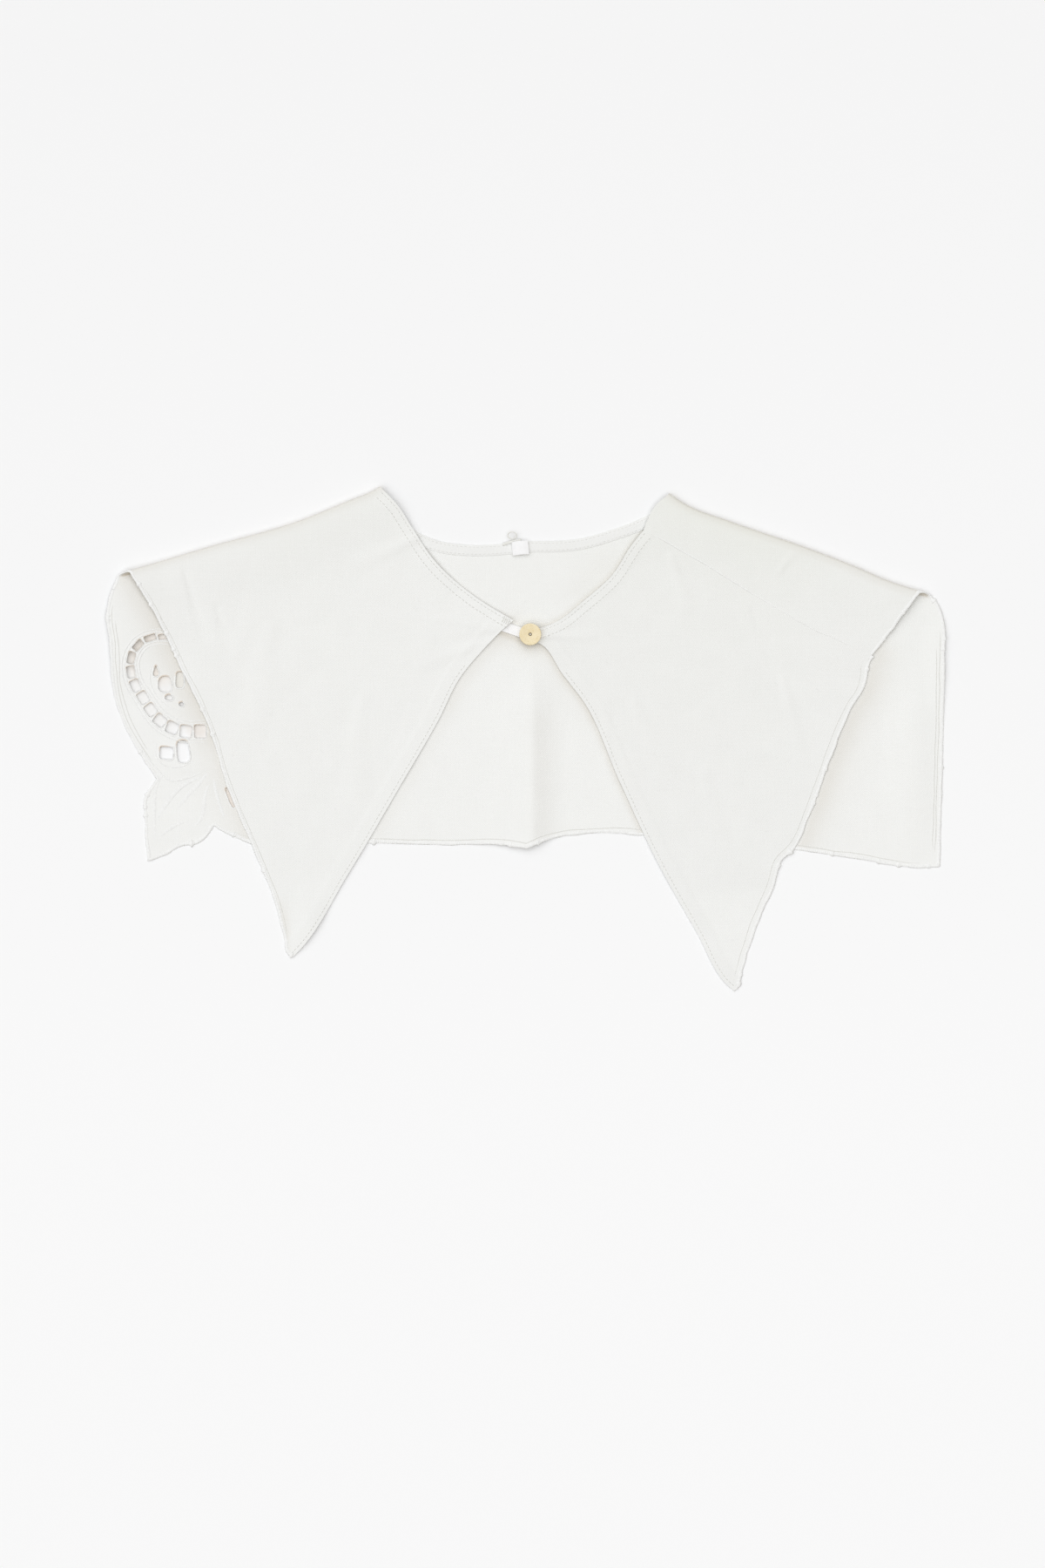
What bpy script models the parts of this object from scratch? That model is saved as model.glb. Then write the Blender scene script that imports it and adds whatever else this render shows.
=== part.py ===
"""Detachable collar of white woven cloth, laid flat with both shoulders folded over.

The back panel lies on the surface with its inside up. The two pointed fronts lie on it and meet
at one button. The right front is sewn to the part of the back that has come over the right fold,
and the left front goes round the left fold and is sewn to the back underneath.

Plan sizes below are millimetres: x to the right, y towards the neck, z up from the surface.
"""
import math

import bmesh
import bpy
import numpy as np

MM = 0.001

# Cloth and how far apart its layers and pieces lie
CLOTH = 1.0
LAYER_GAP = 0.5
PIECE_GAP = 0.3

# Shoulder folds: how thick the fold is at the neck and at the hem, how far in from the fold the
# upper layer takes to settle there, and how far the hem runs askew round the end of the fold
FOLD_AT_NECK = 3.4
FOLD_AT_HEM = 4.6
SETTLE_AT_NECK = 20.0
SETTLE_AT_HEM = 44.0
HEM_SKEW = 4.0
FOLD_ROWS = 6

# Columns and rows of the panels
SEAM_COLUMNS = 17
HALF_NECK_COLUMNS = 8
LEAF_COLUMNS = 5
BACK_SIDE_ROWS = 13
LEAF_ROWS = 6
FRONT_ROWS = 20
STRIP_ROWS = 3

# Folds and seams, from the neck to the hem
LEFT_FOLD = [(-79.9, 138.6), (-86.2, 135.0), (-95.3, 131.4), (-126.5, 118.9), (-174.5, 105.2),
             (-198.5, 98.0), (-221.5, 91.1)]
RIGHT_FOLD = [(79.0, 134.8), (87.6, 129.0), (113.5, 118.9), (151.9, 105.7), (180.7, 94.7),
              (199.9, 86.5), (220.6, 80.0)]
LEFT_SEAM = [(-75.1, 128.3), (-107.3, 116.8), (-150.5, 103.3), (-193.7, 90.8), (-227.3, 81.7)]
RIGHT_SEAM = [(65.0, 114.4), (82.3, 104.8), (123.1, 80.3), (156.7, 60.6), (190.8, 45.7)]

# Necklines, each from its shoulder to the middle
LEFT_NECK = [(-69.8, 127.3), (-63.1, 116.8), (-49.7, 97.1), (-30.5, 79.8), (-5.5, 64.2)]
RIGHT_STRIP_NECK = [(73.7, 130.2)]
RIGHT_NECK = [(58.3, 106.0), (47.8, 89.9), (31.9, 75.5), (17.5, 64.4), (-0.7, 58.4)]
BACK_NECK_LEFT = [(-68.9, 120.6), (-60.2, 113.9), (-49.7, 109.1), (-30.5, 106.4), (-13.7, 106.9)]
BACK_NECK_MIDDLE = (2.6, 108.5)
BACK_NECK_RIGHT = [(31.9, 110.3), (46.3, 114.4), (60.7, 119.6), (70.3, 124.4)]

# Front edges, each from its short end at the button to the point of the flap
LEFT_END = (-12.7, 59.2)
LEFT_EDGE = [(-24.7, 47.2), (-35.8, 33.7), (-47.8, 10.2), (-67.0, -22.9), (-97.7, -74.8)]
LEFT_POINT = (-128.0, -121.0)
RIGHT_END = (0.2, 54.4)
RIGHT_EDGE = [(8.4, 51.7), (20.4, 35.2), (32.2, 19.8), (51.6, -23.4), (73.2, -69.2), (94.3, -106.9)]
RIGHT_POINT = (114.0, -138.8)

# Hems, each from the shoulder down
LEFT_HEM = [(-211.4, 81.2), (-203.3, 67.3), (-190.8, 40.9), (-174.5, 6.4), (-163.9, -27.7),
            (-149.5, -61.3), (-136.1, -96.4), (-132.4, -111.0)]
RIGHT_STRIP_HEM = [(212.4, 74.5), (201.8, 59.6), (194.6, 50.5)]
RIGHT_HEM = [(180.7, 20.8), (167.3, -9.5), (155.8, -40.7), (146.2, -61.3), (140.4, -66.6),
             (135.1, -82.9), (127.0, -100.7), (121.2, -118.0), (117.2, -132.0)]
BACK_SIDE_LEFT = [(-230.6, 69.2), (-229.0, 53.9), (-226.8, 25.1), (-222.5, 10.2), (-212.9, -7.6)]
BACK_SIDE_RIGHT = [(226.8, 74.0), (229.7, 65.9), (230.6, 41.9), (230.2, 8.3), (229.2, -31.1)]

# Leaf-shaped end of the back, between two notches, and the hem from there to the right corner
SIDE_NOTCH = (-202.8, -22.4)
LEAF_SIDE = [(-209.5, -33.0), (-209.5, -46.9)]
LEAF_POINT = (-208.3, -67.6)
LEAF_FOOT = [(-198.5, -64.2), (-188.4, -58.7), (-181.2, -58.0)]
HEM_NOTCH = (-171.6, -48.1)
BACK_HEM_LEFT = [(-163.9, -52.7), (-150.5, -58.0), (-87.6, -57.7), (-44.9, -58.7), (-7.4, -59.2)]
BACK_HEM_MIDDLE = (0.7, -60.8)
BACK_HEM_RIGHT = [(18.0, -54.4), (32.9, -52.4), (66.0, -53.4), (103.9, -57.0), (148.1, -61.3),
                  (185.5, -66.8), (214.3, -71.2)]
BACK_CORNER = (228.2, -70.7)

# Pressed crease down the middle of the back: it starts under the fronts, rises to the hem, and
# falls slowly to the left and quickly to the right
CREASE_PLACE = 4.4
CREASE_TOP = 50.0
CREASE_FULL = 14.0
CREASE_HEIGHT = 2.4
CREASE_LEFT_WIDTH = 46.0
CREASE_RIGHT_WIDTH = 21.0

# Soft swells of each layer: x, y, half width, half length, height
BACK_SWELLS = [(-224.0, 62.0, 36.0, 52.0, 2.2), (232.0, 45.0, 15.0, 45.0, 1.6),
               (213.0, -15.0, 19.0, 62.0, 1.5), (-196.0, 6.0, 26.0, 46.0, 1.0)]
LEFT_SWELLS = [(-10.0, 62.0, 30.0, 26.0, 1.55), (-118.0, -104.0, 15.0, 30.0, 1.6),
               (-183.0, 40.0, 26.0, 70.0, 0.5)]
RIGHT_SWELLS = [(178.0, 5.0, 34.0, 66.0, 0.6)]

# Below the hem of the back the points of the fronts come down to the surface
DROP_START = -66.0
DROP_END = -100.0

# Openwork of the left corner: a ladder of cells along a curve, and larger holes
LADDER = [(-195.1, 55.1), (-203.3, 55.8), (-211.9, 52.4), (-217.2, 43.8), (-216.7, 33.2),
          (-210.5, 21.7), (-200.9, 9.2), (-191.3, 4.4), (-175.4, 4.0)]
LADDER_CELLS = 12
LADDER_BAR = 1.6
LADDER_WIDTHS = (3.4, 7.4)
# x, y, width, height, turn in degrees
HOLES = [(-203.3, 36.8, 3.6, 5.6, 0.0), (-198.6, 29.6, 7.8, 8.2, 0.0), (-190.8, 32.2, 4.6, 8.0, 0.0),
         (-196.4, 22.4, 5.4, 3.4, -8.0), (-197.8, -8.3, 7.4, 6.8, -4.0),
         (-188.7, -7.4, 7.0, 12.0, 6.0), (-162.6, -32.4, 3.6, 10.8, 20.0)]

# Facing strip of the back neckline
FACING_WIDTH = 6.0
FACING_INSET = 0.4
FACING_FROM = 0.03
FACING_TO = 0.96
FACING_COLUMNS = 20
FACING_LIFT_REACH = (9.0, 26.0)

# Label, hanging loop, button tab and button
LABEL_CENTRE = (-2.9, 104.6)
LABEL_SIZE = (8.6, 7.2)
LABEL_TURN = 6.0
LOOP_CENTRE = (-8.0, 111.2)
LOOP_RADIUS = 2.1
LOOP_CORD = 1.4
LOOP_FOOT = (-9.9, 105.8)
TAB_START = (-18.0, 64.7)
TAB_WIDTH = 6.4
TAB_OVERRUN = 4.0
TAB_HOLE_RADIUS = 1.7
TAB_RISE = (12.5, 17.5)
TAB_COLUMNS = 12
BUTTON_CENTRE = (2.6, 57.0)
BUTTON_RADIUS = 6.0
BUTTON_THICKNESS = 2.4
BUTTON_HOLE_RADIUS = 1.4
PIN_RADIUS = 0.9
PIN_HEAD_RISE = 0.4

# Heights of the tops that small pieces lie on
FACING_TOP = 2 * CLOTH + PIECE_GAP
FRONT_TOP = 2 * CLOTH + LAYER_GAP
TAB_TOP = FRONT_TOP + PIECE_GAP + CLOTH
BUTTON_SEAT = TAB_TOP + PIECE_GAP


def smooth(points, steps=12):
    """A smooth line through the points."""
    knots = np.array(points, float)
    chords = np.linalg.norm(np.diff(knots, axis=0), axis=1)[:, None]
    slopes = np.diff(knots, axis=0) / chords
    if len(knots) == 2:
        return knots
    tangents = np.empty_like(knots)
    tangents[1:-1] = (slopes[:-1] * chords[1:] + slopes[1:] * chords[:-1]) / (chords[:-1] + chords[1:])
    tangents[0] = 1.5 * slopes[0] - 0.5 * tangents[1]
    tangents[-1] = 1.5 * slopes[-1] - 0.5 * tangents[-2]
    line = [knots[:1]]
    t = np.linspace(0, 1, steps + 1)[1:, None]
    for i, chord in enumerate(chords[:, 0]):
        line.append((2 * t**3 - 3 * t**2 + 1) * knots[i] + (t**3 - 2 * t**2 + t) * chord * tangents[i]
                    + (3 * t**2 - 2 * t**3) * knots[i + 1] + (t**3 - t**2) * chord * tangents[i + 1])
    return np.vstack(line)


def lengths(line):
    """Distance along the line at each of its points."""
    return np.concatenate(([0.0], np.cumsum(np.linalg.norm(np.diff(line, axis=0), axis=1))))


def spaced(line, count, start=0.0, end=1.0):
    """The line cut into equal stretches between two fractions of its length."""
    along = lengths(line)
    places = np.linspace(start, end, count + 1) * along[-1]
    return np.stack([np.interp(places, along, line[:, axis]) for axis in range(2)], axis=1)


def side(*stretches):
    """One side of a panel: stretches of (points, number of faces), corners kept between them."""
    lines = [spaced(smooth(points), count) for points, count in stretches]
    return np.vstack([lines[0]] + [line[1:] for line in lines[1:]])


def across(line):
    """Unit direction to the left of the line's run at each point."""
    run = np.gradient(line, axis=0)
    run /= np.linalg.norm(run, axis=1)[:, None]
    return np.stack([-run[:, 1], run[:, 0]], axis=1)


def shifted(line, distance):
    """The line moved sideways, to the left of its run."""
    return line + across(line) * distance


def near(points, line):
    """Distance from each point to the line, and how far along the line, from 0 to 1, that is."""
    flat = points.reshape(-1, 1, 2)
    start = line[None, :-1]
    step = line[None, 1:] - start
    along = np.clip(((flat - start) * step).sum(2) / (step**2).sum(2), 0, 1)
    gaps = np.linalg.norm(flat - start - along[..., None] * step, axis=2)
    best = gaps.argmin(axis=1)
    pick = np.arange(len(best))
    total = lengths(line)
    place = (total[best] + along[pick, best] * np.diff(total)[best]) / total[-1]
    return gaps[pick, best].reshape(points.shape[:-1]), place.reshape(points.shape[:-1])


def ease(value, start, end):
    """Soft step from 0 at start to 1 at end."""
    t = np.clip((value - start) / (end - start), 0, 1)
    return t * t * (3 - 2 * t)


def dome(distance):
    """Soft bump, 1 in the middle and 0 from a distance of 1."""
    return np.cos(np.clip(distance, 0, 1) * math.pi / 2)**2


def swell(points, table):
    """Height of all the swells of a layer."""
    x, y = points[..., 0], points[..., 1]
    height = np.zeros(x.shape)
    for centre_x, centre_y, half_width, half_length, rise in table:
        height += rise * dome(np.hypot((x - centre_x) / half_width, (y - centre_y) / half_length))
    return height


def lower_height(points):
    """Middle of the cloth of the back panel above the surface."""
    x, y = points[..., 0], points[..., 1]
    offset = x - CREASE_PLACE
    width = np.where(offset < 0, CREASE_LEFT_WIDTH, CREASE_RIGHT_WIDTH)
    crease = CREASE_HEIGHT * dome(np.abs(offset) / width) * ease(-y, -CREASE_TOP, -CREASE_FULL)
    return CLOTH / 2 + crease + swell(points, BACK_SWELLS)


class Fold:
    """A shoulder fold: half a tube of cloth, thicker towards the hem."""

    def __init__(self, outline, outward, swells):
        self.swells = swells
        edge = spaced(smooth(outline), SEAM_COLUMNS)
        normal = across(edge) * outward
        run = np.stack([normal[:, 1], -normal[:, 0]], axis=1) * outward
        share = np.linspace(0, 1, len(edge))[:, None]
        self.thickness = (FOLD_AT_NECK + (FOLD_AT_HEM - FOLD_AT_NECK) * share**1.2)
        radius = self.thickness / 2
        centre = edge - normal * (radius + CLOTH / 2)
        skew = run * HEM_SKEW * share**6
        rings = []
        for angle in np.linspace(-math.pi / 2, math.pi / 2, FOLD_ROWS + 1):
            plan = centre + normal * radius * math.cos(angle) - skew * math.sin(angle)
            rings.append((plan, 1 + math.sin(angle)))
        self.under = rings[0][0]
        self.over = rings[-1][0]
        floor = lower_height(self.under)[:, None]
        self.rings = [np.hstack([plan, floor + radius * rise]) for plan, rise in rings]
        self.top = (floor + self.thickness)[:, 0]


left_fold = Fold(LEFT_FOLD, -1, LEFT_SWELLS)
right_fold = Fold(RIGHT_FOLD, 1, RIGHT_SWELLS)
left_seam = spaced(smooth(LEFT_SEAM), SEAM_COLUMNS)
right_seam = spaced(smooth(RIGHT_SEAM), SEAM_COLUMNS)
back_seam = shifted(left_seam, PIECE_GAP)
front_seam = shifted(right_seam, -PIECE_GAP)
back_neck = side(([back_seam[0]] + BACK_NECK_LEFT + [BACK_NECK_MIDDLE], HALF_NECK_COLUMNS),
                 ([BACK_NECK_MIDDLE] + BACK_NECK_RIGHT + [right_fold.under[0]], HALF_NECK_COLUMNS))


def upper_height(points, fold):
    """Middle of the cloth of a layer that has come over a fold and lies on the back."""
    rest = lower_height(points) + CLOTH + LAYER_GAP
    to_neck, _ = near(points, back_neck)
    rest += (CLOTH + PIECE_GAP) * (1 - ease(to_neck, *FACING_LIFT_REACH))
    rest += (CLOTH / 2 - rest) * ease(-points[..., 1], -DROP_START, -DROP_END)
    rest += swell(points, fold.swells)
    distance, place = near(points, fold.over)
    along = lengths(fold.over)
    top = np.interp(place * along[-1], along, fold.top)
    reach = SETTLE_AT_NECK + (SETTLE_AT_HEM - SETTLE_AT_NECK) * place
    return rest + (top - rest) * np.exp(-(distance / reach)**2)


def fill_between(top, bottom, left, right):
    """Plan points of a panel between its four sides, evenly spread."""
    u = np.linspace(0, 1, len(top))[None, :, None]
    v = np.linspace(0, 1, len(left))[:, None, None]
    between_rows = (1 - v) * top[None] + v * bottom[None]
    between_columns = (1 - u) * left[:, None] + u * right[:, None]
    upper_corners = (1 - u) * top[0] + u * top[-1]
    lower_corners = (1 - u) * bottom[0] + u * bottom[-1]
    return between_rows + between_columns - (1 - v) * upper_corners - v * lower_corners


def raised(plan, height):
    """Plan points with their heights."""
    return np.concatenate([plan, height[..., None]], axis=-1)


def collection(name):
    """A new collection in the scene."""
    made = bpy.data.collections.new(name)
    bpy.context.scene.collection.children.link(made)
    return made


def finish(name, colour, roughness, metallic=0.0):
    """A plain material."""
    material = bpy.data.materials.new(name)
    material.use_nodes = True
    shader = material.node_tree.nodes["Principled BSDF"]
    shader.inputs["Base Color"].default_value = (*colour, 1.0)
    shader.inputs["Roughness"].default_value = roughness
    shader.inputs["Metallic"].default_value = metallic
    return material


def part(name, mesh, material, place=(0.0, 0.0, 0.0), turn=0.0):
    """An object of the collar, placed in millimetres and turned in degrees."""
    made = bpy.data.objects.new(name, mesh)
    made.location = [value * MM for value in place]
    made.rotation_euler.z = math.radians(turn)
    made.data.materials.append(material)
    parts.objects.link(made)
    return made


def sheet(name, grids, material):
    """A sheet of cloth from grids of points that share their edges, given its thickness."""
    bm = bmesh.new()
    for points in grids:
        rows, columns = points.shape[0] - 1, points.shape[1] - 1
        grid = bmesh.ops.create_grid(bm, x_segments=columns, y_segments=rows, size=1)
        for vert, point in zip(grid["verts"], points.reshape(-1, 3)):
            vert.co = point * MM
    bmesh.ops.remove_doubles(bm, verts=bm.verts, dist=0.000005)
    bmesh.ops.recalc_face_normals(bm, faces=bm.faces)
    mesh = bpy.data.meshes.new(name)
    bm.to_mesh(mesh)
    bm.free()
    mesh.shade_smooth()
    made = part(name, mesh, material)
    wall = made.modifiers.new("wall", "SOLIDIFY")
    wall.thickness = CLOTH * MM
    wall.offset = 0
    wall.use_even_offset = True
    return made


def cutter(name, bm, target):
    """A hidden cutter, and the cut that it makes in its target."""
    mesh = bpy.data.meshes.new(name)
    bm.to_mesh(mesh)
    bm.free()
    made = bpy.data.objects.new(name, mesh)
    made.hide_render = True
    made.display_type = "WIRE"
    cutters.objects.link(made)
    cut = target.modifiers.new(name, "BOOLEAN")
    cut.operation = "DIFFERENCE"
    cut.solver = "EXACT"
    cut.object = made


def add_prism(bm, x, y, width, height, turn):
    """An upright prism with round corners, for one hole of the openwork."""
    depth = 10 * CLOTH
    cube = bmesh.ops.create_cube(bm, size=1)["verts"]
    bmesh.ops.scale(bm, verts=cube, vec=[value * MM for value in (width, height, depth)])
    upright = {edge for vert in cube for edge in vert.link_edges
               if abs(edge.verts[0].co.z - edge.verts[1].co.z) > depth * MM / 2}
    round_corner = 0.42 * min(width, height) * MM
    bevel = bmesh.ops.bevel(bm, geom=list(upright), offset=round_corner, segments=2, profile=0.5,
                            affect="EDGES")
    verts = set(bevel["verts"]) | {vert for vert in cube if vert.is_valid}
    angle = math.radians(turn)
    for vert in verts:
        along, up = vert.co.x, vert.co.y
        vert.co.x = x * MM + along * math.cos(angle) - up * math.sin(angle)
        vert.co.y = y * MM + along * math.sin(angle) + up * math.cos(angle)


def make_back():
    """Back panel, its right fold and the strip above it as far as the right shoulder seam."""
    top = np.vstack([back_seam[::-1], back_neck[1:], right_fold.under[1:]])
    edge_columns = SEAM_COLUMNS + HALF_NECK_COLUMNS
    bottom = side(([LEAF_POINT] + LEAF_FOOT + [HEM_NOTCH], LEAF_COLUMNS),
                  ([HEM_NOTCH] + BACK_HEM_LEFT + [BACK_HEM_MIDDLE], edge_columns - LEAF_COLUMNS),
                  ([BACK_HEM_MIDDLE] + BACK_HEM_RIGHT + [BACK_CORNER], edge_columns))
    left = side(([top[0]] + BACK_SIDE_LEFT + [SIDE_NOTCH], BACK_SIDE_ROWS),
                ([SIDE_NOTCH] + LEAF_SIDE + [LEAF_POINT], LEAF_ROWS))
    right = side(([top[-1]] + BACK_SIDE_RIGHT + [BACK_CORNER], BACK_SIDE_ROWS + LEAF_ROWS))
    panel = fill_between(top, bottom, left, right)
    strip = fill_between(right_fold.over, right_seam,
                         side(([right_fold.over[0]] + RIGHT_STRIP_NECK + [right_seam[0]], STRIP_ROWS)),
                         side(([right_fold.over[-1]] + RIGHT_STRIP_HEM + [right_seam[-1]], STRIP_ROWS)))
    grids = [raised(panel, lower_height(panel)), np.stack(right_fold.rings),
             raised(strip, upper_height(strip, right_fold))]
    return sheet("back", grids, cotton)


def cut_openwork(back):
    """Ladder of cells and larger holes through the left corner of the back."""
    bm = bmesh.new()
    line = smooth(LADDER)
    centres = spaced(line, 2 * LADDER_CELLS)[1::2]
    run = np.gradient(centres, axis=0)
    cell = lengths(line)[-1] / LADDER_CELLS - LADDER_BAR
    for i, (x, y) in enumerate(centres):
        width = float(np.interp(i, (0, LADDER_CELLS - 1), LADDER_WIDTHS))
        add_prism(bm, x, y, cell, width, math.degrees(math.atan2(run[i, 1], run[i, 0])))
    for hole in HOLES:
        add_prism(bm, *hole)
    cutter("openwork_cutter", bm, back)


def make_left_front():
    """Left front, the left fold and the strip under it as far as the left shoulder seam."""
    point_columns = SEAM_COLUMNS - 1
    edge = side(([LEFT_NECK[-1], LEFT_END], 1), ([LEFT_END] + LEFT_EDGE + [LEFT_POINT], point_columns))
    neck = side(([left_fold.over[0]] + LEFT_NECK, FRONT_ROWS))
    hem = side(([left_fold.over[-1]] + LEFT_HEM + [LEFT_POINT], FRONT_ROWS))
    flap = fill_between(left_fold.over, edge, neck, hem)
    strip = fill_between(left_seam, left_fold.under,
                         side(([left_seam[0], left_fold.under[0]], STRIP_ROWS)),
                         side(([left_seam[-1], left_fold.under[-1]], STRIP_ROWS)))
    grids = [raised(strip, lower_height(strip)), np.stack(left_fold.rings),
             raised(flap, upper_height(flap, left_fold))]
    return sheet("front_left", grids, cotton)


def make_right_front():
    """Right front, from the right shoulder seam to its point."""
    point_columns = SEAM_COLUMNS - 1
    edge = side(([RIGHT_NECK[-1], RIGHT_END], 1),
                ([RIGHT_END] + RIGHT_EDGE + [RIGHT_POINT], point_columns))
    neck = side(([front_seam[0]] + RIGHT_NECK, FRONT_ROWS))
    hem = side(([front_seam[-1]] + RIGHT_HEM + [RIGHT_POINT], FRONT_ROWS))
    flap = fill_between(front_seam, edge, neck, hem)
    return sheet("front_right", [raised(flap, upper_height(flap, right_fold))], cotton)


def make_facing():
    """Narrow strip sewn along the inside of the back neckline."""
    outer = shifted(spaced(back_neck, FACING_COLUMNS, FACING_FROM, FACING_TO), -FACING_INSET)
    plan = np.stack([outer, shifted(outer, FACING_INSET - FACING_WIDTH)])
    height = lower_height(plan) + CLOTH + PIECE_GAP
    return sheet("neck_facing", [raised(plan, height)], cotton)


def make_label():
    """Small blank label on the facing."""
    bm = bmesh.new()
    cube = bmesh.ops.create_cube(bm, size=1)["verts"]
    bmesh.ops.scale(bm, verts=cube, vec=[value * MM for value in (*LABEL_SIZE, CLOTH)])
    mesh = bpy.data.meshes.new("label")
    bm.to_mesh(mesh)
    bm.free()
    height = FACING_TOP + PIECE_GAP + CLOTH / 2
    made = part("label", mesh, satin, (*LABEL_CENTRE, height), LABEL_TURN)
    rounding = made.modifiers.new("soft edges", "BEVEL")
    rounding.width = 0.2 * CLOTH * MM
    rounding.segments = 1
    return made


def make_loop():
    """Little cord loop beside the label, for hanging the collar up."""
    angles = [math.radians(-35 + 215 * step / 12) for step in range(13)]
    points = [(LOOP_CENTRE[0] + LOOP_RADIUS * math.cos(a), LOOP_CENTRE[1] + LOOP_RADIUS * math.sin(a))
              for a in angles]
    points += [tuple(point) for point in spaced(np.array([points[-1], LOOP_FOOT]), 3)[1:]]
    curve = bpy.data.curves.new("hanging_loop_route", "CURVE")
    curve.dimensions = "3D"
    curve.bevel_depth = LOOP_CORD / 2 * MM
    curve.bevel_resolution = 2
    curve.use_fill_caps = True
    route = curve.splines.new("POLY")
    route.points.add(len(points) - 1)
    height = FACING_TOP + PIECE_GAP + LOOP_CORD / 2
    for knot, (x, y) in zip(route.points, points):
        knot.co = (x * MM, y * MM, height * MM, 1.0)
    made = bpy.data.objects.new("hanging_loop", curve)
    curve.materials.append(satin)
    parts.objects.link(made)
    return made


def make_tab():
    """Ribbon from under the left front to the button, with a hole for the pin."""
    start, centre = np.array(TAB_START), np.array(BUTTON_CENTRE)
    reach = np.linalg.norm(centre - start)
    run = (centre - start) / reach
    side_way = np.array([-run[1], run[0]]) * TAB_WIDTH / 2
    along = np.linspace(0, reach + TAB_OVERRUN, TAB_COLUMNS + 1)
    middle = start + run * along[:, None]
    low = CLOTH + PIECE_GAP + CLOTH / 2
    height = low + (TAB_TOP - CLOTH / 2 - low) * ease(along, *TAB_RISE)
    plan = np.stack([middle + side_way, middle, middle - side_way])
    made = sheet("button_tab", [raised(plan, np.broadcast_to(height, plan.shape[:-1]))], satin)
    bm = bmesh.new()
    bmesh.ops.create_cone(bm, cap_ends=True, segments=12, radius1=TAB_HOLE_RADIUS * MM,
                          radius2=TAB_HOLE_RADIUS * MM, depth=20 * MM)
    bmesh.ops.translate(bm, verts=bm.verts, vec=(centre[0] * MM, centre[1] * MM, 0))
    cutter("pin_hole_cutter", bm, made)
    return made


def turned(name, profile, material, place, steps):
    """A turned solid from a profile of radius and height that runs down its outer side."""
    bm = bmesh.new()
    verts = [bm.verts.new((radius * MM, 0, height * MM)) for radius, height in profile]
    closed = profile[0][0] > 0
    for first, second in zip(verts, verts[1:] + verts[:1] if closed else verts[1:]):
        bm.edges.new((first, second))
    mesh = bpy.data.meshes.new(name)
    bm.to_mesh(mesh)
    bm.free()
    made = part(name, mesh, material, place)
    screw = made.modifiers.new("turned", "SCREW")
    screw.steps = steps
    screw.render_steps = steps
    screw.use_merge_vertices = True
    screw.merge_threshold = 0.00001
    screw.use_smooth_shade = True
    return made


def make_button():
    """Round button with a raised rim and a hole through its middle."""
    rim, thickness, hole = BUTTON_RADIUS, BUTTON_THICKNESS, BUTTON_HOLE_RADIUS
    profile = [(hole, thickness * 0.78), (rim * 0.62, thickness * 0.8), (rim * 0.78, thickness * 0.98),
               (rim * 0.9, thickness), (rim, thickness * 0.72), (rim, thickness * 0.4),
               (rim * 0.86, 0.0), (hole, 0.0)]
    return turned("button", profile, shell, (*BUTTON_CENTRE, BUTTON_SEAT), 32)


def make_pin():
    """Pin that holds the button to the right front."""
    foot = FRONT_TOP + PIECE_GAP
    head = BUTTON_SEAT + BUTTON_THICKNESS * 0.78 + PIN_HEAD_RISE - foot
    profile = [(0, head), (PIN_RADIUS * 0.7, head - 0.25), (PIN_RADIUS, head - 0.8), (PIN_RADIUS, 0), (0, 0)]
    return turned("button_pin", profile, metal, (*BUTTON_CENTRE, foot), 12)


for old in list(bpy.data.objects):
    bpy.data.objects.remove(old, do_unlink=True)
parts = collection("detachable_collar")
cutters = collection("cutters")
cotton = finish("white woven cotton", (0.86, 0.86, 0.845), 0.9)
satin = finish("white ribbon", (0.93, 0.92, 0.92), 0.6)
shell = finish("cream button", (0.78, 0.65, 0.42), 0.35)
metal = finish("pin", (0.55, 0.45, 0.33), 0.4, 0.8)
cut_openwork(make_back())
make_left_front()
make_right_front()
make_facing()
make_label()
make_loop()
make_tab()
make_button()
make_pin()
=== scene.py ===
# %% [markdown]
# The object is a detachable collar in white woven cotton, laid flat on a pale table and seen from
# straight above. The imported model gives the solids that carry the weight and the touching, and this
# script dresses them: cloth at its real thickness, hems, stitches, cutwork, ribbon and button.
# Everything below is in millimetres until it becomes a mesh, because a sewing room thinks in them.

# %% Load the frame and keep its box
import math
import bmesh
import bpy
import numpy as np
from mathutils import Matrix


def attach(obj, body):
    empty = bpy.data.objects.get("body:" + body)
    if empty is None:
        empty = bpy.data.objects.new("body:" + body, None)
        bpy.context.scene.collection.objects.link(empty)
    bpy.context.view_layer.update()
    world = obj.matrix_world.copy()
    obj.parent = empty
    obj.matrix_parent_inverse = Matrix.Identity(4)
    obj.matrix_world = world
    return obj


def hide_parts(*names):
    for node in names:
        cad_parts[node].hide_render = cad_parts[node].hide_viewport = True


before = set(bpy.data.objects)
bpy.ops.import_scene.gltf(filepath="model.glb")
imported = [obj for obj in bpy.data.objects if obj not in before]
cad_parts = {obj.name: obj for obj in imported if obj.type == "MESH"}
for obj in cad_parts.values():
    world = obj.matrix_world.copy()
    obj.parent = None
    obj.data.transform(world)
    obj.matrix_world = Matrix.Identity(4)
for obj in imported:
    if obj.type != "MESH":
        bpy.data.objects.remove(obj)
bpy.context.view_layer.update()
bpy.ops.object.select_all(action="DESELECT")
MM = 0.001
print("CAD nodes:", ", ".join(sorted(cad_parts)))

# %% [markdown]
# The camera hangs straight above the table. A long lens keeps the collar free of perspective, as in
# a product photograph. The picture is 1200 by 1800 pixels, and one pixel covers 0.48 mm of the table.

# %% Camera
PIXEL = 0.48
PICTURE_HEIGHT = 1800
COLLAR_CENTRE_PIXEL = (603.5, 847.25)
PICTURE_CENTRE_PIXEL = (600.0, 900.0)
LENS = 85.0
SENSOR = 36.0

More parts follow.
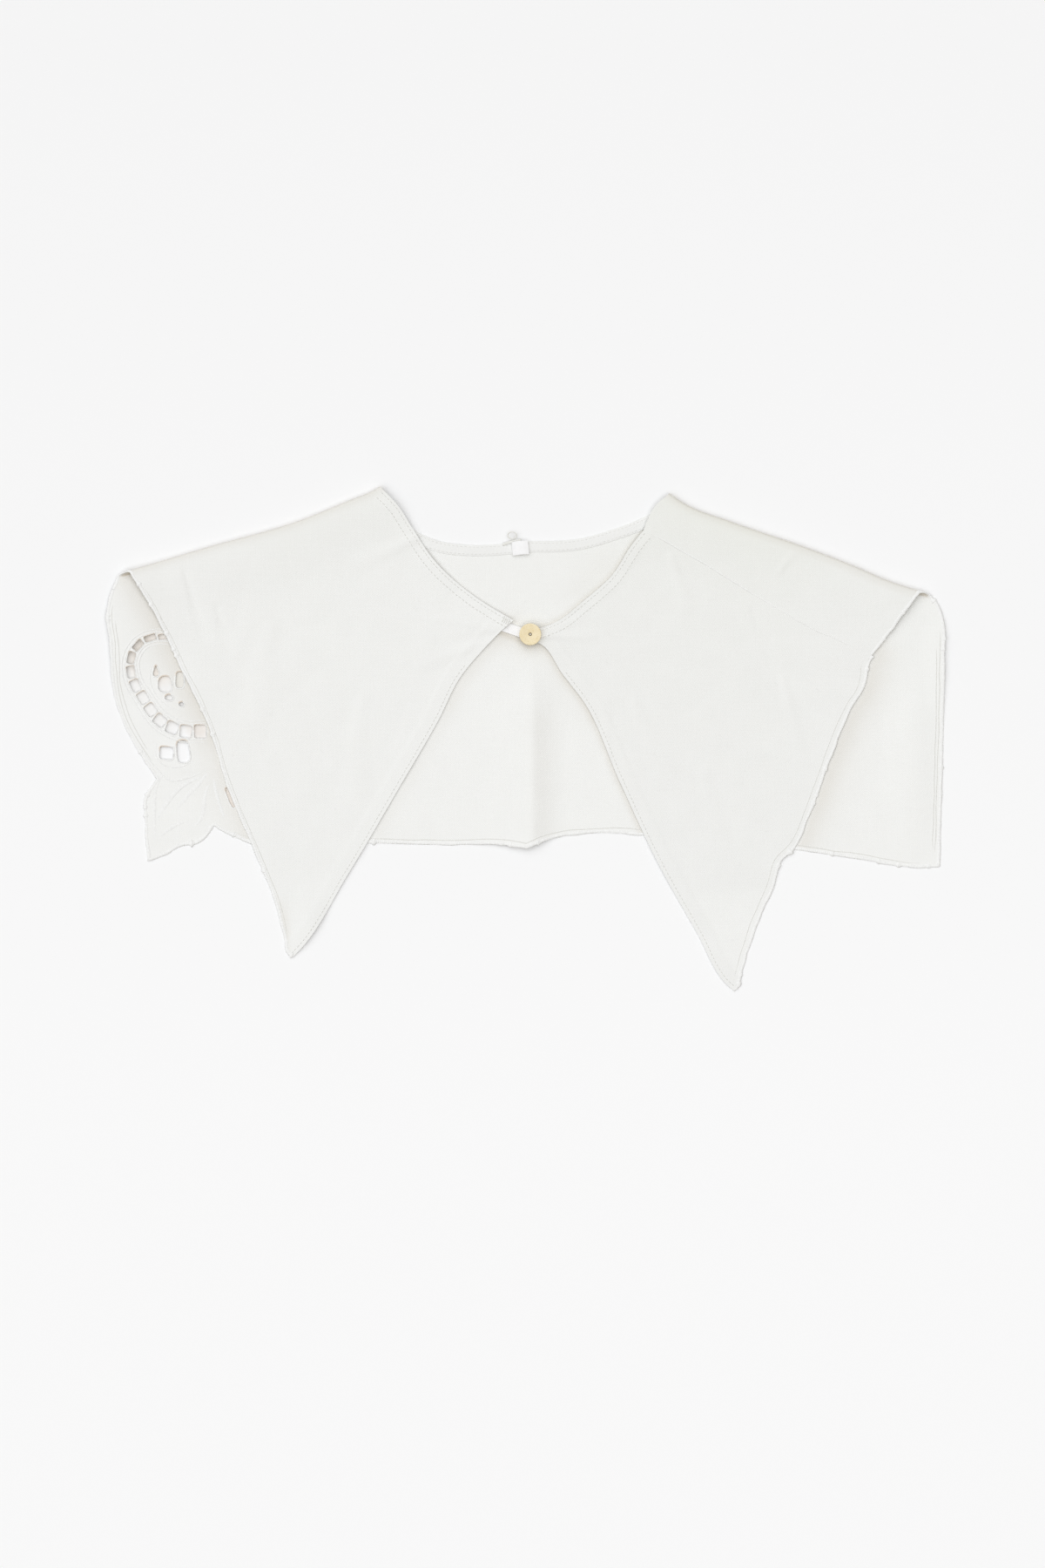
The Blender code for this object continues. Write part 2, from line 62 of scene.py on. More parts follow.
camera_data = bpy.data.cameras.new("camera above")
camera_data.lens = LENS
camera_data.sensor_width = SENSOR
camera = bpy.data.objects.new("camera above", camera_data)
camera.location = ((PICTURE_CENTRE_PIXEL[0] - COLLAR_CENTRE_PIXEL[0]) * PIXEL * MM,
                   (COLLAR_CENTRE_PIXEL[1] - PICTURE_CENTRE_PIXEL[1]) * PIXEL * MM,
                   PICTURE_HEIGHT * PIXEL * MM * LENS / SENSOR)
bpy.context.scene.collection.objects.link(camera)
bpy.context.scene.camera = camera
bpy.context.scene.view_settings.view_transform = "Standard"
print("camera height in metres:", round(camera.location.z, 3))

# %% [markdown]
# The photograph was taken under a big soft light straight above, a little stronger from the upper
# left: every steep side is darker than the flat cloth, and the shadows are wide, pale and brownish.
# A sun with a very wide disc gives an even light without fall-off, and a weak warm sky fills the
# rest, so that what the sun doesn't reach turns cream instead of grey.

# %% Table and light
TABLE_SIZE = 6.0
TABLE_DROP = 0.06
SKY_COLOUR = (1.0, 0.90, 0.76)
SKY_STRENGTH = 0.30
SUN_COLOUR = (0.91, 0.947, 1.0)
SUN_STRENGTH = 2.59
SUN_DISC = 110.0
SUN_LEAN = (-0.22, 0.16, 1.0)

bpy.ops.mesh.primitive_plane_add(size=TABLE_SIZE, location=(0, 0, -TABLE_DROP * MM))
table = bpy.context.object
table.name = "table"
bpy.ops.object.light_add(type="SUN", location=SUN_LEAN)
sun = bpy.context.object
sun.data.energy = SUN_STRENGTH
sun.data.color = SUN_COLOUR
sun.data.angle = math.radians(SUN_DISC)
sun.rotation_mode = "QUATERNION"
sun.rotation_quaternion = (-sun.location).to_track_quat("-Z", "Y")
sky = bpy.data.worlds.new("soft sky")
sky.use_nodes = True
sky.node_tree.nodes["Background"].inputs["Color"].default_value = (*SKY_COLOUR, 1.0)
sky.node_tree.nodes["Background"].inputs["Strength"].default_value = SKY_STRENGTH
bpy.context.scene.world = sky
print("sun from the zenith in degrees:", round(math.degrees(math.atan(math.hypot(*SUN_LEAN[:2])))))

# %% [markdown]
# Materials are written as maths on sockets. A Wire wraps one output of a node, so an expression such
# as 1 - mask adds the Math nodes that it needs. A Recipe is one material: it makes any other node
# from its type, its settings and the values or links of its sockets.

# %% Shader maths
class Wire:
    """One number that changes over a surface."""

    def __init__(self, recipe, socket):
        self.recipe = recipe
        self.socket = socket

    def maths(self, operation, *values):
        return self.recipe.maths(operation, *values)

    def __add__(self, other):
        return self.maths("ADD", self, other)

    def __sub__(self, other):
        return self.maths("SUBTRACT", self, other)

    def __mul__(self, other):
        return self.maths("MULTIPLY", self, other)

    def __rsub__(self, other):
        return self.maths("SUBTRACT", other, self)

    __radd__ = __add__
    __rmul__ = __mul__

    def sine(self):
        return self.maths("SINE", self)

    def within(self, low, high):
        """0 at low, 1 at high, and held there outside."""
        node = self.recipe.node("ShaderNodeMapRange", {"clamp": True},
                                {"Value": self, "From Min": low, "From Max": high})
        return Wire(self.recipe, node.outputs["Result"])


class Recipe:
    """A material that is built node by node."""

    def __init__(self, name, fixed):
        self.material = bpy.data.materials.new(name)
        self.material.use_nodes = True
        self.tree = self.material.node_tree
        self.shader = self.tree.nodes["Principled BSDF"]
        for socket, value in fixed.items():
            self.shader.inputs[socket].default_value = value

    def connect(self, value, socket):
        if isinstance(value, Wire):
            self.tree.links.new(value.socket, socket)
        elif isinstance(value, bpy.types.NodeSocket):
            self.tree.links.new(value, socket)
        else:
            socket.default_value = value

    def node(self, kind, settings=None, sockets=None):
        made = self.tree.nodes.new(kind)
        for setting, value in (settings or {}).items():
            setattr(made, setting, value)
        for key, value in (sockets or {}).items():
            self.connect(value, made.inputs[key])
        return made

    def maths(self, operation, *values):
        made = self.node("ShaderNodeMath", {"operation": operation}, dict(enumerate(values)))
        return Wire(self, made.outputs[0])

    def place(self, source="Object", turn=0.0, stretch=(1.0, 1.0, 1.0)):
        """Coordinates on the piece, turned in degrees and stretched."""
        coordinates = self.node("ShaderNodeTexCoord").outputs[source]
        mapping = self.node("ShaderNodeMapping", {"vector_type": "POINT"},
                            {"Vector": coordinates, "Rotation": (0, 0, math.radians(turn)),
                             "Scale": stretch})
        return mapping.outputs["Vector"]

    def axes(self, vector):
        """The x and y of a vector."""
        split = self.node("ShaderNodeSeparateXYZ", None, {"Vector": vector})
        return Wire(self, split.outputs["X"]), Wire(self, split.outputs["Y"])

    def painted(self, kind):
        """A value that is kept on the points of the piece."""
        return Wire(self, self.node("ShaderNodeAttribute", {"attribute_name": kind}).outputs["Fac"])

    def noise(self, vector, scale, detail=2.0, roughness=0.5):
        made = self.node("ShaderNodeTexNoise", None, {"Vector": vector, "Scale": scale,
                                                      "Detail": detail, "Roughness": roughness})
        return Wire(self, made.outputs["Fac"])

    def between(self, first, second, amount):
        """A colour between two colours."""
        colours = [value if isinstance(value, bpy.types.NodeSocket) else (*value, 1.0)
                   for value in (first, second)]
        made = self.node("ShaderNodeMix", {"data_type": "RGBA"},
                         {"Factor": amount, 6: colours[0], 7: colours[1]})
        return made.outputs[2]

    def finish(self, colour, height=None, strength=0.5, depth=0.0001, roughness=None):
        """Joins the colour, and the height as a bump, to the shader."""
        self.connect(colour if isinstance(colour, bpy.types.NodeSocket) else (*colour, 1.0),
                     self.shader.inputs["Base Color"])
        if roughness is not None:
            self.connect(roughness, self.shader.inputs["Roughness"])
        if height is not None:
            bump = self.node("ShaderNodeBump", None, {"Height": height, "Strength": strength,
                                                      "Distance": depth})
            self.connect(bump.outputs["Normal"], self.shader.inputs["Normal"])
        return self.material


# %% [markdown]
# The cloth is a plain weave with a little slub: single threads swell here and there along their run.
# Two sines crossed give the over and under of the threads, and two stretched noises give the slubs.
# Near the shoulder folds the cloth is a shade warmer and darker. The upper layers carry a little
# painted shade, so they are darker than the back, and beside the hems and along the folds a tan painted
# shade stands for the shadow where little light comes through. So the panels carry a "fold" value, an
# "upper" value and a painted shade value on their points.

# %% Cloth
THREAD = 0.62 * MM
WHITE = (0.888, 0.888, 0.870)
GREYED = (0.842, 0.842, 0.822)
WARMED = (0.79, 0.80, 0.735)
# The tan is the colour of the painted shade beside hems, edges and folds
TAN = (0.52, 0.45, 0.34)
BLACK = (0.0, 0.0, 0.0)
UPPER_SHADE = 0.022
# How often the slub noise changes, along a thread, across it and in height, to a metre
ALONG, ACROSS, UPWARD = 45.0, 1400.0, 60.0


def woven(name, turn, folded, bright):
    """Plain white cloth, turned in degrees to follow the cut of its panel."""
    white, shade = [[part * bright for part in colour] for colour in (WHITE, GREYED)]
    cloth = Recipe(name, {"Roughness": 0.92, "Sheen Weight": 0.12, "Specular IOR Level": 0.2})
    spot = cloth.place(turn=turn)
    x, y = cloth.axes(spot)
    sway = cloth.noise(spot, scale=140.0) * (1.2 * THREAD)
    weave = ((x + sway) * (math.pi / THREAD)).sine() * ((y + sway) * (math.pi / THREAD)).sine()
    warp, weft = [cloth.noise(cloth.place(turn=turn, stretch=stretch), 1.0, 3.0, 0.6)
                  for stretch in ((ACROSS, ALONG, UPWARD), (ALONG, ACROSS, UPWARD))]
    slub = warp + weft - 1.0
    mottle = cloth.noise(spot, scale=60.0, detail=4.0, roughness=0.6)
    neps = cloth.noise(spot, scale=420.0, detail=1.0).within(0.70, 0.78)
    light = (mottle * 0.55 + slub * 0.45 + 0.22 - neps * 0.35).within(0.15, 0.85)
    fold, upper, painted_shade = [cloth.painted(kind) for kind in ("fold", "upper", "painted_shade")]
    # Painted shade: upper layers darkened a little towards black, and the tan mixed in beside hems and
    # folds
    plain = cloth.between(cloth.between(shade, white, light), BLACK, upper * UPPER_SHADE)
    colour = cloth.between(cloth.between(plain, WARMED, fold * folded), TAN, painted_shade)
    return cloth.finish(colour, weave * 0.5 + slub * 1.1, strength=0.55, depth=0.12 * MM)


# Each panel's brightness is set a little apart: painted light and shade for how each lies in the light
front_left_cloth = woven("white cotton, left front", 14.0, 0.18, 1.012)
front_right_cloth = woven("white cotton, right front", -20.0, 0.55, 0.999)
back_cloth = woven("white cotton, back", 1.0, 0.5, 1.003)
print("cloth materials:", 3)

# %% [markdown]
# Thread, ribbon, button and pin each get their own finish. Sewing thread is smoother than the cloth
# and catches a little light. Its twist is a wave on the piece's own UV map, which runs along the
# cord. The button is cream with fine specks, and the pin in its hole is dull metal. The table is a
# little darker towards the top of the picture, and where it shows through the cutwork it has warm
# painted shadow from the lifted cloth.

# %% Thread, ribbon, button and pin
FULL_TURN = 2 * math.pi
RIB = 0.45 * MM


def thread(name, colour, twist=900.0, shadow_brown=None):
    """Sewing thread whose ply winds along the U of the piece, with painted shadow where it is marked."""
    ply = Recipe(name, {"Roughness": 0.65, "Sheen Weight": 0.15, "Specular IOR Level": 0.35})
    u, v = ply.axes(ply.place("UV"))
    wound = (u * (twist * FULL_TURN) + v * FULL_TURN).sine()
    fuzz = ply.noise(ply.place(), scale=900.0)
    shade = ply.between([part * 0.93 for part in colour], colour, fuzz.within(0.3, 0.7))
    if shadow_brown:
        shade = ply.between(shade, shadow_brown, ply.painted("painted_shade") * 0.8)
    return ply.finish(shade, wound * 0.5 + fuzz * 0.4, strength=0.5, depth=0.15 * MM)


def ribbon(name, colour):
    """Close-woven ribbon with fine ribs across it."""
    band = Recipe(name, {"Roughness": 0.5, "Sheen Weight": 0.2, "Specular IOR Level": 0.4})
    u, v = band.axes(band.place("UV"))
    ribs = (u * (FULL_TURN / RIB)).sine()
    uneven = band.noise(band.place(), scale=500.0)
    shade = band.between([part * 0.96 for part in colour], colour, uneven.within(0.3, 0.7))
    return band.finish(shade, ribs * 0.6 + uneven * 0.4, strength=0.35, depth=0.1 * MM)


def button_finish():
    """Cream button, cloudy and finely speckled."""
    cream = Recipe("cream button", {"Roughness": 0.38, "Specular IOR Level": 0.5})
    spot = cream.place()
    clouds = cream.noise(spot, scale=260.0, detail=3.0, roughness=0.6)
    specks = cream.noise(spot, scale=1500.0, detail=1.0).within(0.60, 0.70)
    base = cream.between((0.80, 0.665, 0.40), (0.87, 0.765, 0.53), clouds.within(0.3, 0.7))
    speckled = cream.between(base, (0.66, 0.50, 0.25), specks * 0.55)
    return cream.finish(speckled, clouds, strength=0.15, depth=0.1 * MM,
                        roughness=0.34 + specks * 0.25)


def pin_finish():
    """Dull metal of the pin."""
    metal = Recipe("dull pin", {"Roughness": 0.35, "Metallic": 0.45})
    wear_and_shade = metal.noise(metal.place(), scale=2500.0)
    return metal.finish(metal.between((0.74, 0.68, 0.58), (0.88, 0.85, 0.80), wear_and_shade), wear_and_shade,
                        strength=0.2, depth=0.05 * MM, roughness=0.28 + wear_and_shade * 0.2)


hem_thread = thread("hem thread", (0.90, 0.90, 0.885))
sewing_thread = thread("sewing thread", (0.79, 0.785, 0.75))
# The loop's thread is darker than the rest, partly as painted shade at the loop's base
dull_thread = thread("yellowed and shaded thread", (0.82, 0.815, 0.77))
embroidery_thread = thread("embroidery thread", (0.90, 0.90, 0.885), 1300.0)
satin_thread = thread("satin thread", (0.91, 0.91, 0.895), 1300.0, (0.70, 0.60, 0.50))
white_ribbon = ribbon("white ribbon", (0.93, 0.925, 0.925))
cream_button = button_finish()
dull_pin = pin_finish()

# Painted shadow on the table under the cutwork: x, y, full within, gone beyond, all in metres, and its
# colour
TABLE_SHADOWS = [(-0.198, 0.025, 0.016, 0.027, (0.86, 0.85, 0.835)),
               (-0.205, 0.046, 0.010, 0.019, (0.84, 0.79, 0.73)),
               (-0.1795, 0.0055, 0.003, 0.009, (0.82, 0.78, 0.74)),
               (-0.1905, 0.0320, 0.003, 0.007, (0.78, 0.76, 0.71)),
               (-0.1625, -0.033, 0.005, 0.010, (0.80, 0.74, 0.68))]
TABLE_NEAR = (0.922, 0.922, 0.922)
TABLE_FAR = (0.893, 0.893, 0.893)
table_top = Recipe("pale table", {"Roughness": 0.9, "Specular IOR Level": 0.1})
across_table, down_table = table_top.axes(table_top.place())
paler = table_top.between(TABLE_NEAR, TABLE_FAR, down_table.within(-0.20, 0.38))
# Each patch of painted shadow fades out between its two reaches
for centre_x, centre_y, near_reach, far_reach, shadow_colour in TABLE_SHADOWS:
    off_x, off_y = across_table - centre_x, down_table - centre_y
    close_by = 1 - (off_x * off_x + off_y * off_y).within(near_reach**2, far_reach**2)
    paler = table_top.between(paler, shadow_colour, close_by)
table.data.materials.append(table_top.finish(paler))
print("materials:", len(bpy.data.materials))

# %% [markdown]
# The cut of the collar is a handful of lines on the table, read off the photograph as a tailor would
# chalk them. Each is smoothed through a few points. They follow the lines of the solids to within a
# millimetre, so the cloth lies where the collision is.

# %% Outlines of the cut
LEFT_FOLD = [(-79.9, 138.6), (-86.2, 135.0), (-95.3, 131.4), (-126.5, 118.9), (-174.5, 105.2),
             (-198.5, 98.0), (-221.5, 91.1)]
RIGHT_FOLD = [(79.0, 134.8), (87.6, 129.0), (113.5, 118.9), (151.9, 105.7), (180.7, 94.7),
              (199.9, 86.5), (220.6, 80.0)]
LEFT_SEAM = [(-75.1, 128.3), (-107.3, 116.8), (-150.5, 103.3), (-193.7, 90.8), (-227.3, 81.7)]
RIGHT_SEAM = [(65.0, 114.4), (82.3, 104.8), (123.1, 80.3), (156.7, 60.6), (190.8, 45.7)]
LEFT_NECK = [(-69.8, 127.3), (-63.1, 116.8), (-49.7, 97.1), (-30.5, 79.8), (-6.6, 64.8)]
RIGHT_STRIP_NECK = [(73.7, 130.2)]
RIGHT_NECK = [(58.3, 106.0), (47.8, 89.9), (31.9, 75.5), (17.5, 64.4), (-0.7, 58.4)]
BACK_NECK_LEFT = [(-68.9, 120.6), (-60.2, 113.9), (-49.7, 109.1), (-30.5, 106.4), (-13.7, 106.9)]
BACK_NECK_MIDDLE = (2.6, 108.5)
BACK_NECK_RIGHT = [(31.9, 110.3), (46.3, 114.4), (60.7, 119.6), (70.3, 124.4)]
LEFT_END = (-13.2, 59.2)
LEFT_EDGE = [(-24.7, 47.2), (-35.8, 33.7), (-47.8, 10.2), (-67.0, -22.9), (-97.7, -74.8),
             (-125.2, -117.6)]
LEFT_POINT = (-128.2, -120.6)
RIGHT_END = (0.2, 54.4)
RIGHT_EDGE = [(8.4, 51.7), (20.4, 35.2), (32.2, 19.8), (51.6, -23.4), (73.2, -69.2), (94.3, -106.9),
              (112.0, -136.8)]
RIGHT_POINT = (114.2, -138.6)
LEFT_HEM = [(-211.4, 81.2), (-203.3, 67.3), (-190.8, 40.9), (-174.5, 6.4), (-163.9, -27.7),
            (-149.5, -61.3), (-136.1, -96.4), (-132.6, -112.0), (-131.2, -118.4)]
RIGHT_STRIP_HEM = [(212.4, 74.5), (201.8, 59.6), (194.6, 50.5)]
RIGHT_HEM = [(188.4, 41.9), (187.2, 34.7), (183.1, 24.1), (179.6, 19.2), (175.7, 11.2),
             (167.3, -9.5), (155.8, -40.7), (146.2, -61.3), (140.4, -66.6), (135.1, -82.9),
             (127.0, -100.7), (121.2, -118.0), (117.2, -132.0), (116.0, -137.4)]
BACK_SIDE_LEFT = [(-230.6, 69.2), (-229.0, 53.9), (-226.8, 25.1), (-222.5, 10.2), (-212.9, -7.6)]
BACK_SIDE_RIGHT = [(226.8, 74.0), (229.7, 65.9), (230.6, 41.9), (230.2, 8.3), (229.2, -31.1)]
SIDE_NOTCH = (-202.8, -22.4)
LEAF_SIDE = [(-209.5, -33.0), (-209.5, -46.9)]
LEAF_POINT = (-208.3, -67.6)
LEAF_FOOT = [(-198.5, -64.2), (-188.4, -58.7), (-181.2, -58.0)]
HEM_NOTCH = (-171.6, -48.1)
BACK_HEM_LEFT = [(-163.9, -52.7), (-150.5, -58.0), (-87.6, -57.7), (-44.9, -58.7), (-7.4, -59.2)]
BACK_HEM_MIDDLE = (0.7, -60.8)
BACK_HEM_RIGHT = [(18.0, -54.4), (32.9, -52.4), (66.0, -53.4), (103.9, -57.0), (148.1, -61.3),
                  (185.5, -66.8), (214.3, -71.2)]
BACK_CORNER = (228.2, -70.7)


def smooth(points, steps=16):
    """A smooth line through the points."""
    knots = np.array(points, float)
    chords = np.linalg.norm(np.diff(knots, axis=0), axis=1)[:, None]
    slopes = np.diff(knots, axis=0) / chords
    if len(knots) == 2:
        return knots
    tangents = np.empty_like(knots)
    tangents[1:-1] = (slopes[:-1] * chords[1:] + slopes[1:] * chords[:-1]) / (chords[:-1] + chords[1:])
    tangents[0] = 1.5 * slopes[0] - 0.5 * tangents[1]
    tangents[-1] = 1.5 * slopes[-1] - 0.5 * tangents[-2]
    line = [knots[:1]]
    t = np.linspace(0, 1, steps + 1)[1:, None]
    for i, chord in enumerate(chords[:, 0]):
        line.append((2 * t**3 - 3 * t**2 + 1) * knots[i] + (t**3 - 2 * t**2 + t) * chord * tangents[i]
                    + (3 * t**2 - 2 * t**3) * knots[i + 1] + (t**3 - t**2) * chord * tangents[i + 1])
    return np.vstack(line)


def lengths(line):
    """Distance along the line at each of its points."""
    return np.concatenate(([0.0], np.cumsum(np.linalg.norm(np.diff(line, axis=0), axis=1))))


def at(line, places, along=None):
    """Points of the line at these distances along it, or along another line's lengths."""
    along = lengths(line) if along is None else along
    return np.stack([np.interp(places, along, line[:, axis]) for axis in range(line.shape[1])], axis=1)


def spaced(line, count, start=0.0, end=1.0):
    """The line cut into equal stretches between two fractions of its length."""
    return at(line, np.linspace(start, end, count + 1) * lengths(line)[-1])


def side(*stretches):
    """One side of a panel: stretches of (points, number of faces), corners kept between them."""
    lines = [spaced(smooth(points), count) for points, count in stretches]
    return np.vstack([lines[0]] + [line[1:] for line in lines[1:]])


def across(line):
    """Unit direction to the left of the line's run at each point."""
    run = np.gradient(line, axis=0)
    run /= np.linalg.norm(run, axis=1)[:, None]
    return np.stack([-run[:, 1], run[:, 0]], axis=1)


def shifted(line, distance):
    """The line moved sideways, to the left of its run."""
    return line + across(line) * distance


print("left front edge in mm:", round(lengths(smooth([LEFT_END] + LEFT_EDGE + [LEFT_POINT]))[-1]))

# %% [markdown]
# Heights come next. The back lies on the table, with a pressed crease down its middle and a few soft
# swells where its sides lift. The fronts lie on it, over the facing at the neck, stand higher by the
# shoulder folds and come down to the table at their points. Small creases are listed one by one,
# each a short ridge or trough with its own length, width and depth.

# %% Heights of the layers
LAYER = 0.46
WALL = 0.4
LAYER_GAP = 0.1
PIECE_GAP = 0.3
FOLD_AT_NECK = 3.4
FOLD_AT_HEM = 3.3
SETTLE_AT_NECK = 20.0
SETTLE_AT_HEM = 28.0
HEM_SKEW = 4.0
CREASE_TOP = 50.0
CREASE_FULL = 14.0
CREASE_HEIGHT = 3.2
CREASE_PLACE = 4.4
CREASE_LEFT_WIDTH = 46.0
CREASE_RIGHT_WIDTH = 20.0
CREST_ROUNDING = 1.0
DROP_START = -66.0
DROP_END = -100.0
FACING_LIFT_REACH = (9.0, 26.0)
# Swells: x, y, half width, half length, height
BACK_SWELLS = [(-224, 62, 36, 52, 2.2), (232, 45, 15, 45, 1.6),
               (213, -15, 19, 62, 1.5), (-196, 6, 26, 46, 0.7)]
LEFT_SWELLS = [(-10, 62, 30, 26, 0.6), (-118, -104, 15, 30, 1.6),
               (-183, 40, 26, 70, 0.5)]
RIGHT_SWELLS = [(178, 5, 34, 66, 0.25), (-4, 56, 24, 18, 0.6)]
# Creases: from x, y to x, y, half width, height
BACK_CREASES = [(46, -10, 44, 20, 5, 0.25), (-60, -45, -40, -52, 7, 0.2),
                (110, -20, 150, -48, 9, -0.3), (-150, 20, -120, -20, 10, 0.3),
                (200, 12, 208, -50, 6, 0.15)]
LEFT_CREASES = [(-188, 94, -177, 56, 4, -0.72), (-170, 72, -164, 50, 4, -0.48),
                (-16, 60, -48, 66, 3, 0.56), (-18, 56, -46, 52, 4, -0.48),
                (-30, 50, -58, 40, 5, 0.40), (-90, 20, -96, -30, 9, 0.32),
                (-140, 60, -150, 10, 11, 0.40), (-60, 110, -92, 96, 6, 0.48)]
RIGHT_CREASES = [(125, 71, 137, 42, 4, -0.64), (80, 100, 89, 72, 5, 0.48),
                 (140, 92, 147, 102, 3, 0.64), (8, 56, 37, 56, 3, 0.56),
                 (10, 60, 30, 70, 3, -0.40), (142, 32, 152, -10, 5, 0.40),
                 (60, 20, 78, -20, 8, 0.32), (98, -20, 110, -70, 9, 0.32)]
# Bands of doubled cloth: width and how much they stand up
NECK_BAND = (6.2, 0.22)
EDGE_BAND = (8.4, 0.25)
BAND_SOFTNESS = 0.8
RIPPLES = 14
SHORTEST_RIPPLE = 16.0
LONGEST_RIPPLE = 60.0
BACK_RIPPLE = 0.1
FRONT_RIPPLE = 0.16
DEEPEST_TROUGH = 0.35
SMOOTH_BESIDE_FOLD = 12.0


def near(points, line):
    """Distance from each point to the line, and how far along the line, from 0 to 1, that is."""
    flat = points.reshape(-1, 2)
    start, step = line[:-1], np.diff(line, axis=0)
    size = (step**2).sum(1)
    total = lengths(line)
    best = np.full(len(flat), np.inf)
    place = np.zeros(len(flat))
    for i in range(len(start)):
        offset = flat - start[i]
        along = np.clip(offset @ step[i] / size[i], 0, 1)
        gap = np.linalg.norm(offset - along[:, None] * step[i], axis=1)
        closer = gap < best
        best[closer] = gap[closer]
        place[closer] = total[i] + along[closer] * (total[i + 1] - total[i])
    return best.reshape(points.shape[:-1]), (place / total[-1]).reshape(points.shape[:-1])


def ease(value, start, end):
    """Soft step from 0 at start to 1 at end."""
    t = np.clip((value - start) / (end - start), 0, 1)
    return t * t * (3 - 2 * t)


def dome(distance):
    """Soft bump, 1 in the middle and 0 from a distance of 1."""
    return np.cos(np.clip(distance, 0, 1) * math.pi / 2)**2


def swell(points, table):
    """Height of all the swells of a layer."""
    x, y = points[..., 0], points[..., 1]
    height = np.zeros(x.shape)
    for centre_x, centre_y, half_width, half_length, rise in table:
        height += rise * dome(np.hypot((x - centre_x) / half_width, (y - centre_y) / half_length))
    return height


def creased(points, table):
    """Height of the small creases of a layer."""
    height = np.zeros(points.shape[:-1])
    for x1, y1, x2, y2, half_width, rise in table:
        line = np.linspace((x1, y1), (x2, y2), 3)
        distance, place = near(points, line)
        height += rise * dome(distance / (half_width * (0.6 + 0.8 * place))) * (1.1 - 0.4 * place)
    return height


def ripple(points, seed, size):
    """Slight unevenness of cloth that has been washed and laid out by hand."""
    draw = np.random.default_rng(seed)
    height = np.zeros(points.shape[:-1])
    for _ in range(RIPPLES):
        wave = draw.uniform(SHORTEST_RIPPLE, LONGEST_RIPPLE)
        angle, start = draw.uniform(0, 2 * math.pi, 2)
        run = points[..., 0] * math.cos(angle) + points[..., 1] * math.sin(angle)
        height += np.sin(run * 2 * math.pi / wave + start) * wave / LONGEST_RIPPLE
    return height * size / 3


def lower_height(points):
    """Middle of the cloth of the back panel above the table."""
    x, y = points[..., 0], points[..., 1]
    offset = x - CREASE_PLACE
    width = np.where(offset < 0, CREASE_LEFT_WIDTH, CREASE_RIGHT_WIDTH)
    from_crest = np.clip(np.hypot(offset, CREST_ROUNDING) / width, 0, 1)
    crease = CREASE_HEIGHT * (1 - from_crest)**2 * ease(-y, -CREASE_TOP, -CREASE_FULL)
    small = creased(points, BACK_CREASES) + ripple(points, 3, BACK_RIPPLE)
    return LAYER / 2 + crease + swell(points, BACK_SWELLS) + np.maximum(small, 0)


class Fold:
    """A shoulder fold: half a tube of cloth, thicker towards the hem."""

    def __init__(self, outline, outward, columns, rows, swells, creases, seed):
        self.swells = swells
        self.creases = creases
        self.seed = seed
        self.bands = []
        edge = spaced(smooth(outline), columns)
        normal = across(edge) * outward
        run = np.stack([normal[:, 1], -normal[:, 0]], axis=1) * outward
        share = np.linspace(0, 1, len(edge))[:, None]
        thickness = FOLD_AT_NECK + (FOLD_AT_HEM - FOLD_AT_NECK) * share**1.2
        radius = thickness / 2
        centre = edge - normal * (radius + WALL / 2)
        skew = run * HEM_SKEW * share**6
        angles = np.linspace(-math.pi / 2, math.pi / 2, rows + 1)
        plans = [centre + normal * radius * math.cos(a) - skew * math.sin(a) for a in angles]
        self.edge = edge
        self.under = plans[0]
        self.over = plans[-1]
        floor = lower_height(self.under)[:, None]
        self.rings = np.stack([np.hstack([plan, floor + radius * (1 + math.sin(a))])
                               for plan, a in zip(plans, angles)])
        self.top = (floor + thickness)[:, 0]


FINE = 6
SEAM_COLUMNS = 17 * FINE
HALF_NECK_COLUMNS = 8 * FINE
LEAF_COLUMNS = 5 * FINE
BACK_SIDE_ROWS = 13 * 5
LEAF_ROWS = 6 * 5
FRONT_ROWS = 20 * 5
FOLD_ROWS = 16
STRIP_ROWS = 10

left_fold = Fold(LEFT_FOLD, -1, SEAM_COLUMNS, FOLD_ROWS, LEFT_SWELLS, LEFT_CREASES, 5)
right_fold = Fold(RIGHT_FOLD, 1, SEAM_COLUMNS, FOLD_ROWS, RIGHT_SWELLS, RIGHT_CREASES, 8)
left_seam = spaced(smooth(LEFT_SEAM), SEAM_COLUMNS)
right_seam = spaced(smooth(RIGHT_SEAM), SEAM_COLUMNS)
back_neck = side(([left_seam[0]] + BACK_NECK_LEFT + [BACK_NECK_MIDDLE], HALF_NECK_COLUMNS),
                 ([BACK_NECK_MIDDLE] + BACK_NECK_RIGHT + [right_fold.under[0]], HALF_NECK_COLUMNS))
neck_route = spaced(back_neck, 40)
left_neck = side(([left_fold.over[0]] + LEFT_NECK, FRONT_ROWS))
right_neck = side(([right_seam[0]] + RIGHT_NECK, FRONT_ROWS))
left_edge = side(([LEFT_NECK[-1], LEFT_END], FINE),
                 ([LEFT_END] + LEFT_EDGE + [LEFT_POINT], SEAM_COLUMNS - FINE))
right_edge = side(([RIGHT_NECK[-1], RIGHT_END], FINE),
                  ([RIGHT_END] + RIGHT_EDGE + [RIGHT_POINT], SEAM_COLUMNS - FINE))
left_fold.bands = [(spaced(left_neck, 40), *NECK_BAND), (spaced(left_edge, 60), *EDGE_BAND)]
right_fold.bands = [(spaced(right_neck, 40), *NECK_BAND), (spaced(right_edge, 60), *EDGE_BAND)]


